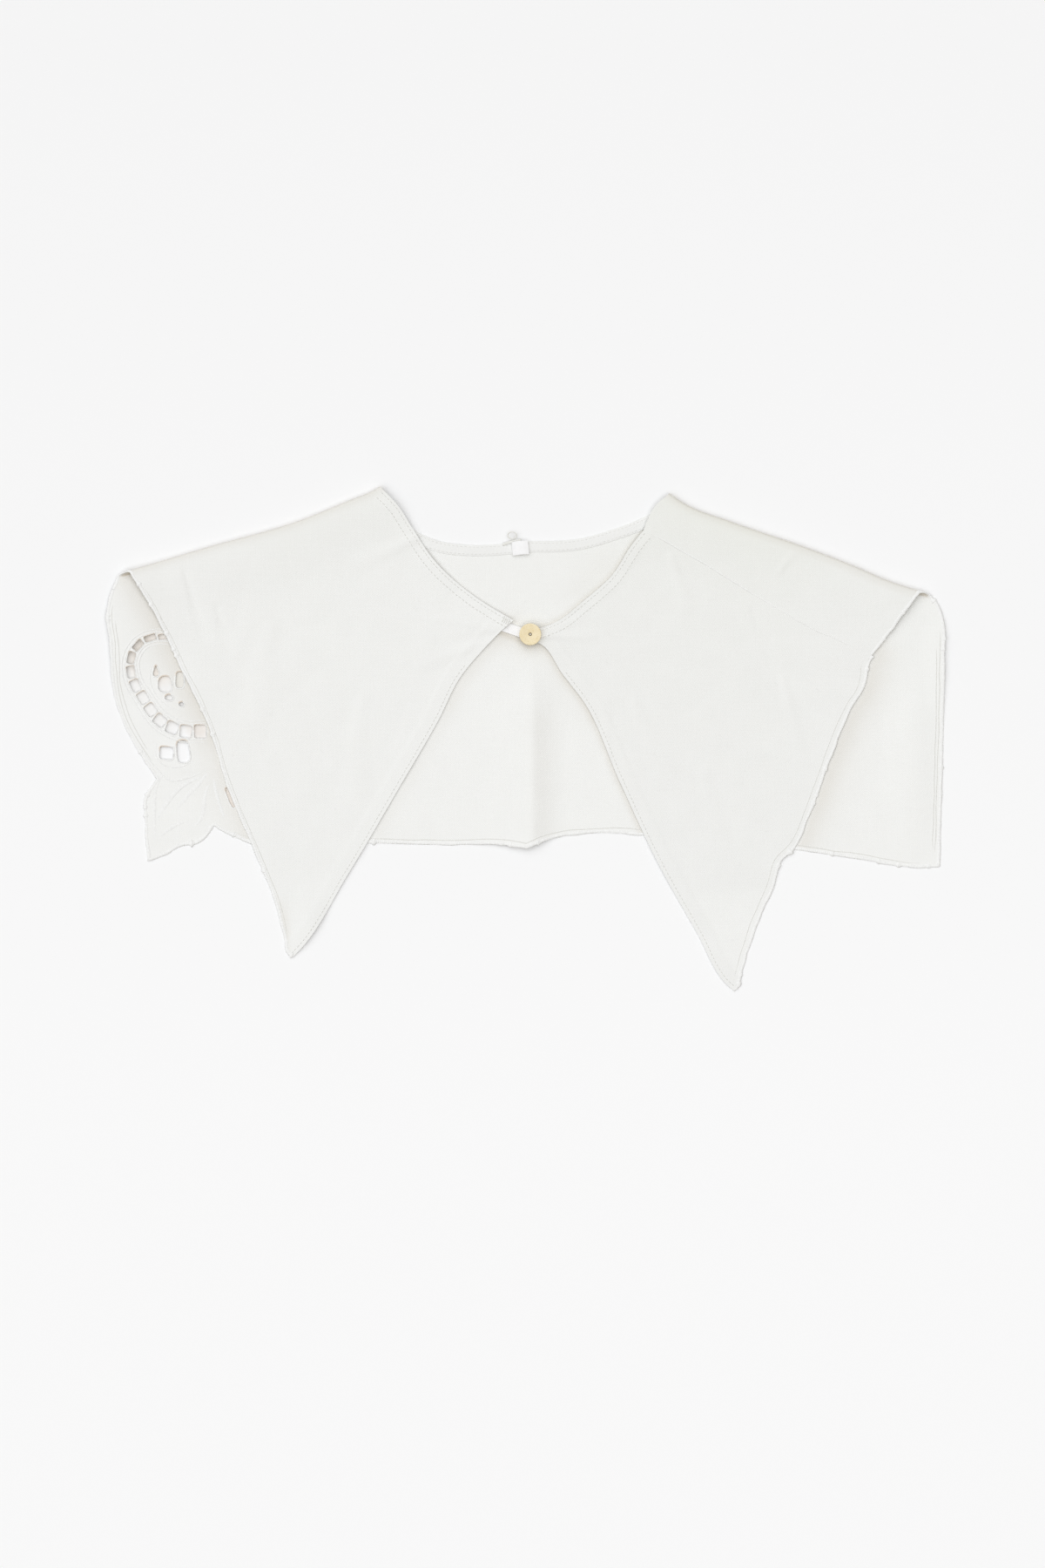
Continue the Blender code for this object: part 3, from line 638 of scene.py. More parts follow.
def upper_height(points, fold):
    """Middle of the cloth of a layer that has come over a fold and lies on the back."""
    rest = lower_height(points) + LAYER + LAYER_GAP
    to_neck, _ = near(points, neck_route)
    rest += (LAYER + PIECE_GAP) * (1 - ease(to_neck, *FACING_LIFT_REACH))
    rest += (LAYER / 2 - rest) * ease(-points[..., 1], -DROP_START, -DROP_END)
    rest += swell(points, fold.swells)
    distance, place = near(points, fold.over)
    along = lengths(fold.over)
    top = np.interp(place * along[-1], along, fold.top)
    reach = SETTLE_AT_NECK + (SETTLE_AT_HEM - SETTLE_AT_NECK) * place
    height = rest + (top - rest) * np.exp(-(distance / reach)**2)
    small = creased(points, fold.creases) + np.abs(ripple(points, fold.seed, FRONT_RIPPLE))
    for line, width, rise in fold.bands:
        beside, _ = near(points, line)
        small += rise * (1 - ease(beside, width - BAND_SOFTNESS, width + BAND_SOFTNESS))
    small = np.maximum(small, -DEEPEST_TROUGH * (height - LAYER))
    return height + small * ease(distance, 0.0, SMOOTH_BESIDE_FOLD)


print("fold tops in mm:", left_fold.top[[0, -1]].round(2), right_fold.top[[0, -1]].round(2))

# %% [markdown]
# A panel of cloth is a grid stretched between four chalk lines, which keeps its edges crisp and its
# inside evenly meshed. The plan is filled first and the height added after, and Solidify gives the
# cloth its thickness. Simulation would only blur the measured outline, so it isn't used here.

# %% Panels of cloth
MERGED_WITHIN = 0.004
SHARP_FROM = math.radians(50)
# Warmth by distance from the fold's edge: reach, power, amount. It fades towards the shoulders' ends
FOLD_WARMTH = [(22.0, 1.5, 0.7), (110.0, 2, 0.3)]
SHOULDER_FADE = (120.0, 185.0)
# Painted shade where the fold turns from the light, by distance from its edge: reach, amount.
# Low down in the fold's mouth, under the fold, the painted shade is deeper
FOLD_EDGE_SHADE = [(1.3, 0.07), (3.0, 0.19)]
MOUTH_SHADE = 0.4
MOUTH_SHADE_REACH = 2.2
MOUTH_SHADE_HEIGHT = (1.2, 2.2)
# Painted shade shows on the lower layers alone: near the fold on all but the top one, elsewhere on the back
MOUTH_REACH = 9.0
MOUTH_HEIGHT = (1.5, 2.2)
UPPER_HEIGHT = (0.7 * WALL, 1.5 * WALL)


def fill_between(top, bottom, left, right):
    """Plan points of a panel between its four sides, evenly spread."""
    u = np.linspace(0, 1, len(top))[None, :, None]
    v = np.linspace(0, 1, len(left))[:, None, None]
    between_rows = (1 - v) * top[None] + v * bottom[None]
    between_columns = (1 - u) * left[:, None] + u * right[:, None]
    upper_corners = (1 - u) * top[0] + u * top[-1]
    lower_corners = (1 - u) * bottom[0] + u * bottom[-1]
    return between_rows + between_columns - (1 - v) * upper_corners - v * lower_corners


def raised(plan, height):
    """Plan points with their heights."""
    return np.concatenate([plan, height[..., None]], axis=-1)


def mesh_of(name, points, faces, material, smooth_shaded=True):
    """A mesh object from points in millimetres, with its own origin in the middle of the frame."""
    mesh = bpy.data.meshes.new(name)
    mesh.from_pydata((np.asarray(points) * MM).tolist(), [], faces)
    mesh.materials.append(material)
    if smooth_shaded:
        mesh.shade_smooth()
    made = bpy.data.objects.new(name, mesh)
    bpy.context.scene.collection.objects.link(made)
    return made


def grid_faces(rows, columns, first=0):
    """Faces of a grid of points, row by row."""
    corner = (np.arange(rows)[:, None] * (columns + 1) + np.arange(columns) + first).reshape(-1)
    return np.stack([corner, corner + 1, corner + columns + 2, corner + columns + 1], axis=1).tolist()


def apply_all(piece):
    """Applies every modifier of a piece."""
    bpy.context.view_layer.objects.active = piece
    for modifier in list(piece.modifiers):
        bpy.ops.object.modifier_apply(modifier=modifier.name)


def places_of(piece):
    """The points of a piece, in metres."""
    places = np.empty(len(piece.data.vertices) * 3)
    piece.data.vertices.foreach_get("co", places)
    return places.reshape(-1, 3)


def keep(piece, kind, values):
    """Keeps one value for each point of a piece, for its material."""
    piece.data.attributes.new(kind, "FLOAT", "POINT").data.foreach_set("value", values)


def tinted_and_shaded(piece, fold_line, shade_lines):
    """Says where a panel is warm, uppermost and in painted shade. Shade lines: line, width, amount."""
    places = places_of(piece) / MM
    plan, height = places[:, :2], places[:, 2]
    distance, _ = near(plan, fold_line)
    above = height - lower_height(plan)
    upper = ease(above, *UPPER_HEIGHT)
    covered = np.where(distance < MOUTH_REACH, ease(above, *MOUTH_HEIGHT), upper)
    fold = sum(amount * np.exp(-(distance / reach)**power) for reach, power, amount in FOLD_WARMTH)
    fold *= 1 - 0.7 * ease(np.abs(plan[:, 0]), *SHOULDER_FADE)
    # Painted shade along the fold's edge and low in its mouth, added to the painted shade value
    wear_and_shade = sum(amount * np.exp(-(distance / reach)**2) for reach, amount in FOLD_EDGE_SHADE)
    wear_and_shade += MOUTH_SHADE * (distance < MOUTH_SHADE_REACH) * (1 - ease(height, *MOUTH_SHADE_HEIGHT))
    # Painted shade beside the hems, edges and necks, where the layer above casts its shadow
    painted_shade = sum(amount * np.exp(-(near(plan, line)[0] / width)**2) for line, width, amount in shade_lines)
    keep(piece, "fold", fold)
    keep(piece, "upper", upper)
    keep(piece, "painted_shade", np.maximum(painted_shade, 0) * (1 - covered) + wear_and_shade)


def cloth_panel(name, grids, fold_line, material, thickness=WALL, shade_lines=()):
    """A panel of cloth from grids of points that share their edges."""
    points, faces = [], []
    for grid in grids:
        faces += grid_faces(grid.shape[0] - 1, grid.shape[1] - 1, sum(len(part) for part in points))
        points.append(grid.reshape(-1, 3))
    made = mesh_of(name, np.vstack(points), faces, material)
    bm = bmesh.new()
    bm.from_mesh(made.data)
    bmesh.ops.remove_doubles(bm, verts=bm.verts, dist=MERGED_WITHIN * MM)
    bmesh.ops.recalc_face_normals(bm, faces=bm.faces)
    if sum(face.normal.z for face in bm.faces) < 0:
        bmesh.ops.reverse_faces(bm, faces=bm.faces)
    bm.to_mesh(made.data)
    bm.free()
    wall = made.modifiers.new("wall", "SOLIDIFY")
    wall.thickness = thickness * MM
    wall.offset = 0
    apply_all(made)
    made.data.set_sharp_from_angle(angle=SHARP_FROM)
    tinted_and_shaded(made, fold_line, shade_lines)
    return made


back_top = np.vstack([left_seam[::-1], back_neck[1:], right_fold.under[1:]])
half_columns = SEAM_COLUMNS + HALF_NECK_COLUMNS
back_foot = side(([LEAF_POINT] + LEAF_FOOT + [HEM_NOTCH], LEAF_COLUMNS),
                 ([HEM_NOTCH] + BACK_HEM_LEFT + [BACK_HEM_MIDDLE], half_columns - LEAF_COLUMNS),
                 ([BACK_HEM_MIDDLE] + BACK_HEM_RIGHT + [BACK_CORNER], half_columns))
back_left = side(([back_top[0]] + BACK_SIDE_LEFT + [SIDE_NOTCH], BACK_SIDE_ROWS),
                 ([SIDE_NOTCH] + LEAF_SIDE + [LEAF_POINT], LEAF_ROWS))
back_right = side(([back_top[-1]] + BACK_SIDE_RIGHT + [BACK_CORNER], BACK_SIDE_ROWS + LEAF_ROWS))
back_plan = fill_between(back_top, back_foot, back_left, back_right)
back_grid = raised(back_plan, lower_height(back_plan))
strip_plan = fill_between(
    right_fold.over, right_seam,
    side(([right_fold.over[0]] + RIGHT_STRIP_NECK + [right_seam[0]], STRIP_ROWS)),
    side(([right_fold.over[-1]] + RIGHT_STRIP_HEM + [right_seam[-1]], STRIP_ROWS)))
strip_grid = raised(strip_plan, upper_height(strip_plan, right_fold))
left_hem = side(([left_fold.over[-1]] + LEFT_HEM + [LEFT_POINT], FRONT_ROWS))
right_hem = side(([right_seam[-1]] + RIGHT_HEM + [RIGHT_POINT], FRONT_ROWS))
# Painted shade where little light comes through: the line, its first and last part, width, amount
SHADED_LINES = [(left_hem, 0.0, 1.0, 12.0, 0.12), (left_hem, 0.0, 1.0, 2.5, 0.10),
                (left_hem, 0.0, 0.42, 9.0, 0.13), (right_hem, 0.0, 1.0, 13.0, 0.08),
                (right_hem, 0.0, 0.6, 9.5, 0.17), (right_hem, 0.1, 0.4, 16.0, 0.03),
                (right_hem, 0.0, 1.0, 1.9, -0.27), (left_edge, 0.0, 1.0, 5.5, 0.09),
                (left_edge, 0.0, 1.0, 1.5, -0.05), (right_edge, 0.0, 1.0, 2.4, 0.27),
                (left_edge, 0.03, 0.26, 6.0, 0.07), (right_edge, 0.03, 0.26, 6.0, 0.07)]
SHADED_NECKS = [(left_neck, 1.2, 0.12), (right_neck, 1.7, 0.30)]
SHADED_SPOTS = [([(-12.0, 57.0), (3.0, 51.0)], 7.0, 0.12),
                ([(-13.0, 58.0), (-3.6, 54.2), (1.2, 51.8)], 1.8, 0.30),
                ([(30.0, 82.0), (45.0, 97.0)], 8.0, 0.05), ([(9.0, 10.0), (10.0, -56.0)], 7.0, 0.05)]
shaded = [(spaced(line, 60, start, end), width, amount) for line, start, end, width, amount in SHADED_LINES]
shaded += [(spaced(line, 40), width, amount) for line, width, amount in SHADED_NECKS]
shaded += [(np.array(line), width, amount) for line, width, amount in SHADED_SPOTS]
back_panel = cloth_panel("back_panel", [back_grid, right_fold.rings, strip_grid], right_fold.edge,
                         back_cloth, shade_lines=shaded)

left_plan = fill_between(left_fold.over, left_edge, left_neck, left_hem)
left_grid = raised(left_plan, upper_height(left_plan, left_fold))
tuck_plan = fill_between(left_seam, left_fold.under,
                         side(([left_seam[0], left_fold.under[0]], STRIP_ROWS)),
                         side(([left_seam[-1], left_fold.under[-1]], STRIP_ROWS)))
tuck_grid = raised(tuck_plan, lower_height(tuck_plan))
left_panel = cloth_panel("left_front_panel", [tuck_grid, left_fold.rings, left_grid], left_fold.edge,
                         front_left_cloth, shade_lines=shaded)

right_plan = fill_between(right_seam, right_edge, right_neck, right_hem)
right_grid = raised(right_plan, upper_height(right_plan, right_fold))
right_panel = cloth_panel("right_front_panel", [right_grid], right_fold.edge, front_right_cloth)
print("faces of the panels:", [len(p.data.polygons) for p in (back_panel, left_panel, right_panel)])

# %% [markdown]
# Every sewn or embroidered line is a cord that lies on the cloth. A plain function takes a line in
# plan, finds the cloth under it, and sweeps a flattened ring along it. Its UV map runs along the cord
# in metres, so that the ply of the thread winds at its real pitch.

# %% Cords on the cloth


def on_back(plan):
    """Points on the upper face of the back."""
    return raised(plan, lower_height(plan) + WALL / 2)


def on_left(plan):
    """Points on the upper face of the left front."""
    return raised(plan, upper_height(plan, left_fold) + WALL / 2)


def on_right(plan):
    """Points on the upper face of the right front."""
    return raised(plan, upper_height(plan, right_fold) + WALL / 2)


def facing_out(piece):
    """Turns the faces of a closed piece outwards."""
    bm = bmesh.new()
    bm.from_mesh(piece.data)
    bmesh.ops.recalc_face_normals(bm, faces=bm.faces)
    bm.to_mesh(piece.data)
    bm.free()
    return piece


def run_map(piece, spots):
    """Lays a UV map on a piece from one spot for each of its points."""
    layer = piece.data.uv_layers.new(name="run")
    corners = np.empty(len(piece.data.loops), int)
    piece.data.loops.foreach_get("vertex_index", corners)
    layer.data.foreach_set("uv", spots[corners].reshape(-1))
    return piece


def cord_rings(track, width, height, sides=8, closed=False):
    """Rings of a flattened cord along a track of points. Width may change along it."""
    if closed:
        run = np.roll(track, -1, axis=0) - np.roll(track, 1, axis=0)
    else:
        run = np.gradient(track, axis=0)
    run /= np.linalg.norm(run, axis=1)[:, None]
    sideways = np.cross(np.array([0.0, 0.0, 1.0]), run)
    sideways /= np.linalg.norm(sideways, axis=1)[:, None]
    up = np.cross(run, sideways)
    half_width, half_height = [np.broadcast_to(np.asarray(size, float) / 2, len(track))[:, None]
                               for size in (width, height)]
    rings = [track + sideways * half_width * math.cos(a) + up * half_height * math.sin(a)
             for a in np.linspace(0, 2 * math.pi, sides, endpoint=False)]
    return np.stack(rings, axis=1)


def joined_cords(name, cords, material):
    """Many cords, each its rings and whether it closes on itself, as one piece."""
    points, faces, spots = [], [], []
    first = 0
    for rings, closed in cords:
        count, around = rings.shape[:2]
        here = np.arange(around)
        after = (here + 1) % around
        rows = np.arange(count if closed else count - 1)[:, None]
        start, end = rows * around, (rows + 1) % count * around
        faces += (np.stack([start + here, start + after, end + after, end + here], 2)
                  .reshape(-1, 4) + first).tolist()
        if not closed:
            last = (count - 1) * around
            faces += [(here[::-1] + first).tolist(), (here + last + first).tolist()]
        along = lengths(rings.mean(axis=1)) * MM
        spots.append(np.stack([np.repeat(along, around), np.tile(here / around, count)], axis=1))
        points.append(rings.reshape(-1, 3))
        first += count * around
    made = mesh_of(name, np.vstack(points), faces, material)
    return facing_out(run_map(made, np.vstack(spots)))


print("height of the back at the neck in mm:", on_back(back_neck)[:, 2].mean().round(2))

# %% [markdown]
# The hems are overlocked: thread is wound over the raw edge into a thin roll, with a nub here and
# there where the thread bunched. A tube swept round the edge does it, flatter than it is wide, and its
# size swells with each wind of the thread. The edge's own neighbours in the grid say which way the
# cloth lies, so the roll turns properly round the end of a fold.

# %% Rolled hems
HEM_WIDTH = 1.9
HEM_HEIGHT = 0.72
HEM_WIND = 1.5
HEM_STEP = 0.38
HEM_SIDES = 8
WIND_SWELL = 0.09
# Slow changes along a hem: pitch, amount
THICKNESS_CHANGE = (3.0, 0.10)
SWAY = (5.0, 0.16)
NUB_LENGTH = 0.9
NUB_SWELL = 0.7
TABLE_CLEARANCE = 0.02


def wandering(draw, places, end, pitch, amount):
    """Random values at an even pitch up to an end, with straight stretches between them."""
    knots = np.arange(0, end, pitch)
    return np.interp(places, knots, draw.normal(0, amount, len(knots)))


def softened(values, span):
    """Each column averaged over its neighbours, with the ends held."""
    weights = np.hanning(span + 2)[1:-1]
    weights /= weights.sum()
    held = np.pad(values, ((span // 2, span // 2), (0, 0)), mode="edge")
    return np.stack([np.convolve(column, weights, mode="valid") for column in held.T], axis=1)


def rolled_hem(name, edge, inner, seed, inset=0.34, nubs=9, height=HEM_HEIGHT):
    """The overlocked roll along an edge. The inner points lie just inside the cloth."""
    total = lengths(edge)[-1]
    places = np.arange(0, total, HEM_STEP)
    track = at(edge, places)
    inside = at(inner, places, lengths(edge)) - track
    inside = softened(inside / np.linalg.norm(inside, axis=1)[:, None], 13)
    track = softened(track, 3)
    run = np.gradient(softened(track, 9), axis=0)
    run /= np.linalg.norm(run, axis=1)[:, None]
    up = np.cross(run, inside)
    up /= np.linalg.norm(up, axis=1)[:, None]
    inside = np.cross(up, run)
    draw = np.random.default_rng(seed)
    size = 1 + WIND_SWELL * np.sin(places * 2 * math.pi / HEM_WIND)
    size += wandering(draw, places, total + 2 * THICKNESS_CHANGE[0], *THICKNESS_CHANGE)
    sway = wandering(draw, places, total + 2 * SWAY[0], *SWAY)
    for spot in draw.uniform(0, total, nubs):
        size += NUB_SWELL * np.exp(-((places - spot) / NUB_LENGTH)**2)
    rings = []
    for angle in np.linspace(0, 2 * math.pi, HEM_SIDES, endpoint=False):
        out = inside * (np.cos(angle) * HEM_WIDTH / 2 * size)[:, None]
        lift = up * (np.sin(angle) * height / 2 * size)[:, None]
        rings.append(track + inside * (HEM_WIDTH * inset + sway)[:, None] + out + lift)
    tube = np.stack(rings, axis=1)
    tube[..., 2] = np.maximum(tube[..., 2], TABLE_CLEARANCE)
    return joined_cords(name, [(tube, False)], hem_thread)


def edge_of(grid, where):
    """An edge of a grid, and the points a little inside it."""
    picks = {"first column": (grid[:, 0], grid[:, 2]), "last column": (grid[:, -1], grid[:, -3]),
             "last row": (grid[-1], grid[-3])}
    return picks[where]


def joined(*edges):
    """Several edges, end to end. Points that two of them share are kept once."""
    outer = np.vstack([edges[0][0]] + [edge[0][1:] for edge in edges[1:]])
    inner = np.vstack([edges[0][1]] + [edge[1][1:] for edge in edges[1:]])
    return outer, inner


def backwards(edge):
    """The same edge, run the other way."""
    return edge[0][::-1], edge[1][::-1]


back_hem = rolled_hem("back_rolled_hem", *joined(
    edge_of(back_grid, "first column"), edge_of(back_grid, "last row"),
    backwards(edge_of(back_grid, "last column")), edge_of(right_fold.rings, "last column"),
    edge_of(strip_grid, "last column")), seed=11, nubs=26)
left_rolled_hem = rolled_hem("left_rolled_hem", *joined(
    edge_of(tuck_grid, "last column"), edge_of(left_fold.rings, "last column"),
    edge_of(left_grid, "last column")), seed=12)
right_rolled_hem = rolled_hem("right_rolled_hem", *edge_of(right_grid, "last column"), seed=13,
                              inset=-0.25, height=0.55)
print("hem faces:", [len(h.data.polygons) for h in (back_hem, left_rolled_hem, right_rolled_hem)])

# %% [markdown]
# The left corner of the back is cutwork: cells and petals are cut out of the cloth, and each raw edge
# is covered with satin stitch. The holes are cut by a boolean with upright prisms whose outlines are
# rounded rectangles, and the same outlines, a little larger, carry the satin as a flattened cord. On
# the upper side of each rim the satin is darker and warmer, as painted shadow of the rim.

# %% Cutwork
LADDER = [(-195.1, 55.1), (-203.3, 55.8), (-211.9, 52.4), (-217.2, 43.8), (-216.7, 33.2),
          (-210.5, 21.7), (-200.9, 9.2), (-191.3, 4.4), (-175.4, 4.0)]
LADDER_CELLS = 12
LADDER_BAR = 0.9
LADDER_WIDTHS = (3.4, 7.7)
LADDER_SQUARENESS = 6.0
# x, y, width, height, turn in degrees, squareness, how much narrower the upper end is
HOLES = [(-203.7, 36.9, 4.6, 6.2, 0, 2.2, 0.7), (-198.6, 29.6, 8.6, 9.2, 0, 2.4, 0.15),
         (-190.6, 32, 5.2, 9.2, 0, 3, 0.2), (-196.4, 22.3, 5.6, 3.4, -8, 2.2, 0.3),
         (-189.6, 18.6, 3.4, 2.6, -25, 2.2, 0.3), (-197.8, -8.3, 7.8, 7.2, -4, 5, 0),
         (-188.7, -7.4, 7.6, 12.6, 6, 3.4, 0.12), (-162.4, -32.8, 3.4, 12, 21, 3, 0)]
HOLE_POINTS = 36
# Satin on the rims: width, and how far out it lies
LADDER_SATIN = (0.5, 0.03)
HOLE_SATIN = (0.85, 0.25)
SATIN_HEIGHT = WALL + 0.3
SATIN_LIFT = 0.1
# Painted shadow on each rim: the side it lies on, and how far round from that side it reaches
SHADOWED_SIDE = np.array([-0.35, 0.94])
SHADOWED_FROM = (0.45, 0.9)
PRISM_REACH = (-5.0, 15.0)


def hole_outline(x, y, width, height, turn, squareness, taper, grow=0.0):
    """Rounded rectangle in plan, grown outwards by some millimetres."""
    angles = np.linspace(0, 2 * math.pi, HOLE_POINTS, endpoint=False)
    cosines, sines = np.cos(angles), np.sin(angles)
    up = np.sign(sines) * np.abs(sines)**(2 / squareness)
    along = np.sign(cosines) * np.abs(cosines)**(2 / squareness) * (width / 2 + grow)
    along *= 1 - taper * (1 + up) / 2
    up = up * (height / 2 + grow)
    tilt = math.radians(turn)
    return np.stack([x + along * math.cos(tilt) - up * math.sin(tilt),
                     y + along * math.sin(tilt) + up * math.cos(tilt)], axis=1)


def cut_away(piece, tool):
    """Cuts the tool's shape out of a piece."""
    cut = piece.modifiers.new("cut", "BOOLEAN")
    cut.operation = "DIFFERENCE"
    cut.solver = "EXACT"
    cut.object = tool
    apply_all(piece)
    bpy.data.objects.remove(tool, do_unlink=True)


def ladder_cells():
    """Place, size and turn of each cell along the ladder."""
    line = smooth(LADDER)
    centres = spaced(line, 2 * LADDER_CELLS)[1::2]
    run = np.gradient(centres, axis=0)
    cell = lengths(line)[-1] / LADDER_CELLS - LADDER_BAR
    cells = []
    for i, (x, y) in enumerate(centres):
        width = np.interp(i, (0, LADDER_CELLS - 1), LADDER_WIDTHS)
        turn = math.degrees(math.atan2(run[i, 1], run[i, 0]))
        cells.append((x, y, cell, width, turn, LADDER_SQUARENESS, 0.0))
    return cells


holes = ladder_cells() + HOLES
points, faces = [], []
for hole in holes:
    outline = hole_outline(*hole)
    first = len(points) * HOLE_POINTS
    for z in PRISM_REACH:
        points.append(raised(outline, np.full(HOLE_POINTS, z)))
    here = np.arange(HOLE_POINTS)
    after = (here + 1) % HOLE_POINTS
    faces += (np.stack([here, after, after + HOLE_POINTS, here + HOLE_POINTS], 1) + first).tolist()
    faces += [(here[::-1] + first).tolist(), (here + first + HOLE_POINTS).tolist()]
prisms = mesh_of("cutwork_prisms", np.vstack(points), faces, back_cloth, False)
cut_away(back_panel, prisms)
print("holes:", len(holes), " faces of the back now:", len(back_panel.data.polygons))

satin, shadowed = [], []
for i, hole in enumerate(holes):
    width, grow = LADDER_SATIN if i < LADDER_CELLS else HOLE_SATIN
    outline = hole_outline(*hole, grow=grow)
    track = raised(outline, lower_height(outline) + SATIN_LIFT)
    rings = cord_rings(track, width, SATIN_HEIGHT, closed=True)
    satin.append((rings, True))
    # Painted shadow on the side of the rim that faces up the picture
    upward = (outline - hole[:2]) @ SHADOWED_SIDE
    shadowed.append(np.repeat(ease(upward / upward.max(), *SHADOWED_FROM), rings.shape[1]))
satin_edges = joined_cords("satin_edges", satin, satin_thread)
keep(satin_edges, "painted_shade", np.hstack(shadowed))
print("satin edges:", len(satin), " faces:", len(satin_edges.data.polygons))

# %% [markdown]
# The leaf below the cutwork is embroidered rather than cut. Its veins fan out from the upper right
# towards the tip, and raised lines follow the ladder on both sides. The cords taper to nothing at
# their ends, as a line of stitches does.

# %% Leaf and raised lines
BESIDE_LADDER = (0.7, 2.3)
LADDER_LINE = (0.9, 0.5)
SUNK = 0.05
# Each line: its points, and its width in the middle. The wider it is, the flatter
RAISED_LINES = [([(-175, -18.6), (-180.2, -25.3), (-186.5, -32), (-192.2, -39.7)], 2.6),
                ([(-174.5, -25.3), (-176.9, -32.5), (-177.4, -39.7), (-179.8, -46), (-183.1, -48.8)],
                 2.4),
                ([(-172, -22), (-170, -32), (-166, -44)], 2.2),
                ([(-178, -21), (-190, -27), (-199, -38), (-204.2, -46.9)], 2.6),
                ([(-200.9, -54.1), (-193.7, -48.4), (-187.9, -46.4)], 2.2),
                ([(-200, -20), (-204, -29), (-204.5, -40), (-204, -54)], 2),
                ([(-214, -1), (-209.5, -9), (-203.5, -16.4), (-196.1, -23.4), (-186, -22),
                  (-176, -17.5)], 0.9),
                ([(-205, 42), (-207, 33), (-203.6, 23.6), (-197, 17.6), (-189, 15)], 0.8),
                ([(-203, -2.4), (-203.8, -9), (-200, -14.4), (-190, -15.8), (-182.6, -12.2)], 0.8)]
lines = []
for offset in (-1, 1):
    run = spaced(smooth(LADDER), 120)
    for gap in BESIDE_LADDER:
        reach = np.linspace(*LADDER_WIDTHS, len(run)) / 2 + gap
        lines.append((run + across(run) * (reach * offset)[:, None], *LADDER_LINE))
for points, width in RAISED_LINES:
    line = smooth(points)
    lines.append((spaced(line, int(lengths(line)[-1] / 0.7)), width, 0.55 - 0.12 * width))
cords = []
for plan, width, height in lines:
    taper = np.sin(np.linspace(0, math.pi, len(plan)))**0.35 * 0.94 + 0.06
    cords.append((cord_rings(on_back(plan) - (0, 0, SUNK), width * taper, height * taper), False))
raised_lines = joined_cords("raised_lines", cords, embroidery_thread)
print("raised lines:", len(lines))

# %% [markdown]
# Machine stitches are short dashes of thread whose ends dive into the cloth. One dash has four small
# rings, and a row repeats it along a line at the pitch of the machine. All rows on one piece are
# joined, because thousands of separate objects would be slow. The line of thread beside a hem and the
# ridge over the right seam are single cords that follow their line a little unevenly.

# %% Topstitching
STITCH = 2.3
FIRST_STITCH = 0.6
STITCH_THREAD = (0.36, 0.26)
# The four rings of a dash: places along it, heights over the cloth and sizes
DASH_PLACES = np.array([0.12, 0.5, 1.55, 1.95])
DASH_HEIGHTS = np.array([-0.16, 0.04, 0.04, -0.16])
DASH_SIZES = np.array([0.5, 1.0, 1.0, 0.5])
JITTER = 0.03
LINE_STEP = 0.9
LINE_SWAY = (9.0, 0.2)
LINE_HEIGHT = 0.34
LINE_SUNK = 0.04
SEAM_INSET = 0.5
RIDGE_WIDTH = 0.9


def stitch_row(line, surface, inset, seed):
    """Dashes of thread along a line in plan, moved sideways onto the cloth."""
    route = shifted(spaced(line, int(lengths(line)[-1])), inset)
    total = lengths(route)[-1]
    draw = np.random.default_rng(seed)
    dashes = []
    width, height = STITCH_THREAD
    for start in np.arange(FIRST_STITCH, total - STITCH, STITCH):
        ends = start + DASH_PLACES + draw.normal(0, JITTER, 4)
        plan = at(route, ends) + draw.normal(0, JITTER, 2)
        track = surface(plan) + DASH_HEIGHTS[:, None] * (0, 0, 1)
        dashes.append((cord_rings(track, width * DASH_SIZES, height * DASH_SIZES, 6), False))
    return dashes


def hem_line(line, surface, inset, seed, width=0.55):
    """The thread that runs beside a hem, a little uneven."""
    route = shifted(spaced(line, int(lengths(line)[-1] / LINE_STEP)), inset)
    count = len(route)
    draw = np.random.default_rng(seed)
    sway = wandering(draw, np.arange(count), count + LINE_SWAY[0], *LINE_SWAY)
    route = route + across(route) * sway[:, None]
    taper = 0.1 + 0.9 * dome(np.linspace(-1, 1, count)**14)
    track = surface(route) - (0, 0, LINE_SUNK)
    return [(cord_rings(track, width * taper, LINE_HEIGHT * taper, 6), False)]


def sewn(name, surface, rows, lines=()):
    """All the thread on one piece: rows of stitches and hem lines, each a line, an inset and a seed."""
    cords = []
    for row in rows:
        cords += stitch_row(row[0], surface, *row[1:])
    for line in lines:
        cords += hem_line(line[0], surface, *line[1:])
    print(name, "cords:", len(cords))
    return joined_cords(name, cords, sewing_thread)


left_stitches = sewn("left_topstitching", on_left,
                     [(left_neck, -5.4, 21), (left_neck, -1.6, 35), (left_edge[3 * FINE:], -2.0, 22)],
                     [(left_hem[3:-3], 2.2, 25, 0.45)])
right_stitches = sewn("right_topstitching", on_right,
                      [(right_neck, 5.4, 23), (right_neck, 1.6, 33), (right_edge[3 * FINE:], 2.0, 24)],
                      [(right_hem[1:-3], -2.3, 26, 0.45)])
right_ridge = joined_cords("right_seam_ridge",
                           hem_line(right_seam[4:-6], on_right, SEAM_INSET, 36, RIDGE_WIDTH),
                           front_right_cloth)
back_stitches = sewn("back_hem_lines", on_back, [],
                     [(back_right[12:-4], -2.6, 27), (back_right[18:-5], -4.2, 28),
                      (back_foot[LEAF_COLUMNS + 4:-4], 2.5, 29),
                      (back_left[4:BACK_SIDE_ROWS - 4], 2.8, 41),
                      (back_left[10:BACK_SIDE_ROWS - 8], 4.6, 42)])

# %% [markdown]
# A narrow facing is sewn along the inside of the back neckline. It is a strip that follows the neck
# line, folded under at both edges, so it stands up a little between its two rows of stitches. No fold
# is near it, so the fold line that a panel asks for is one that lies far away.

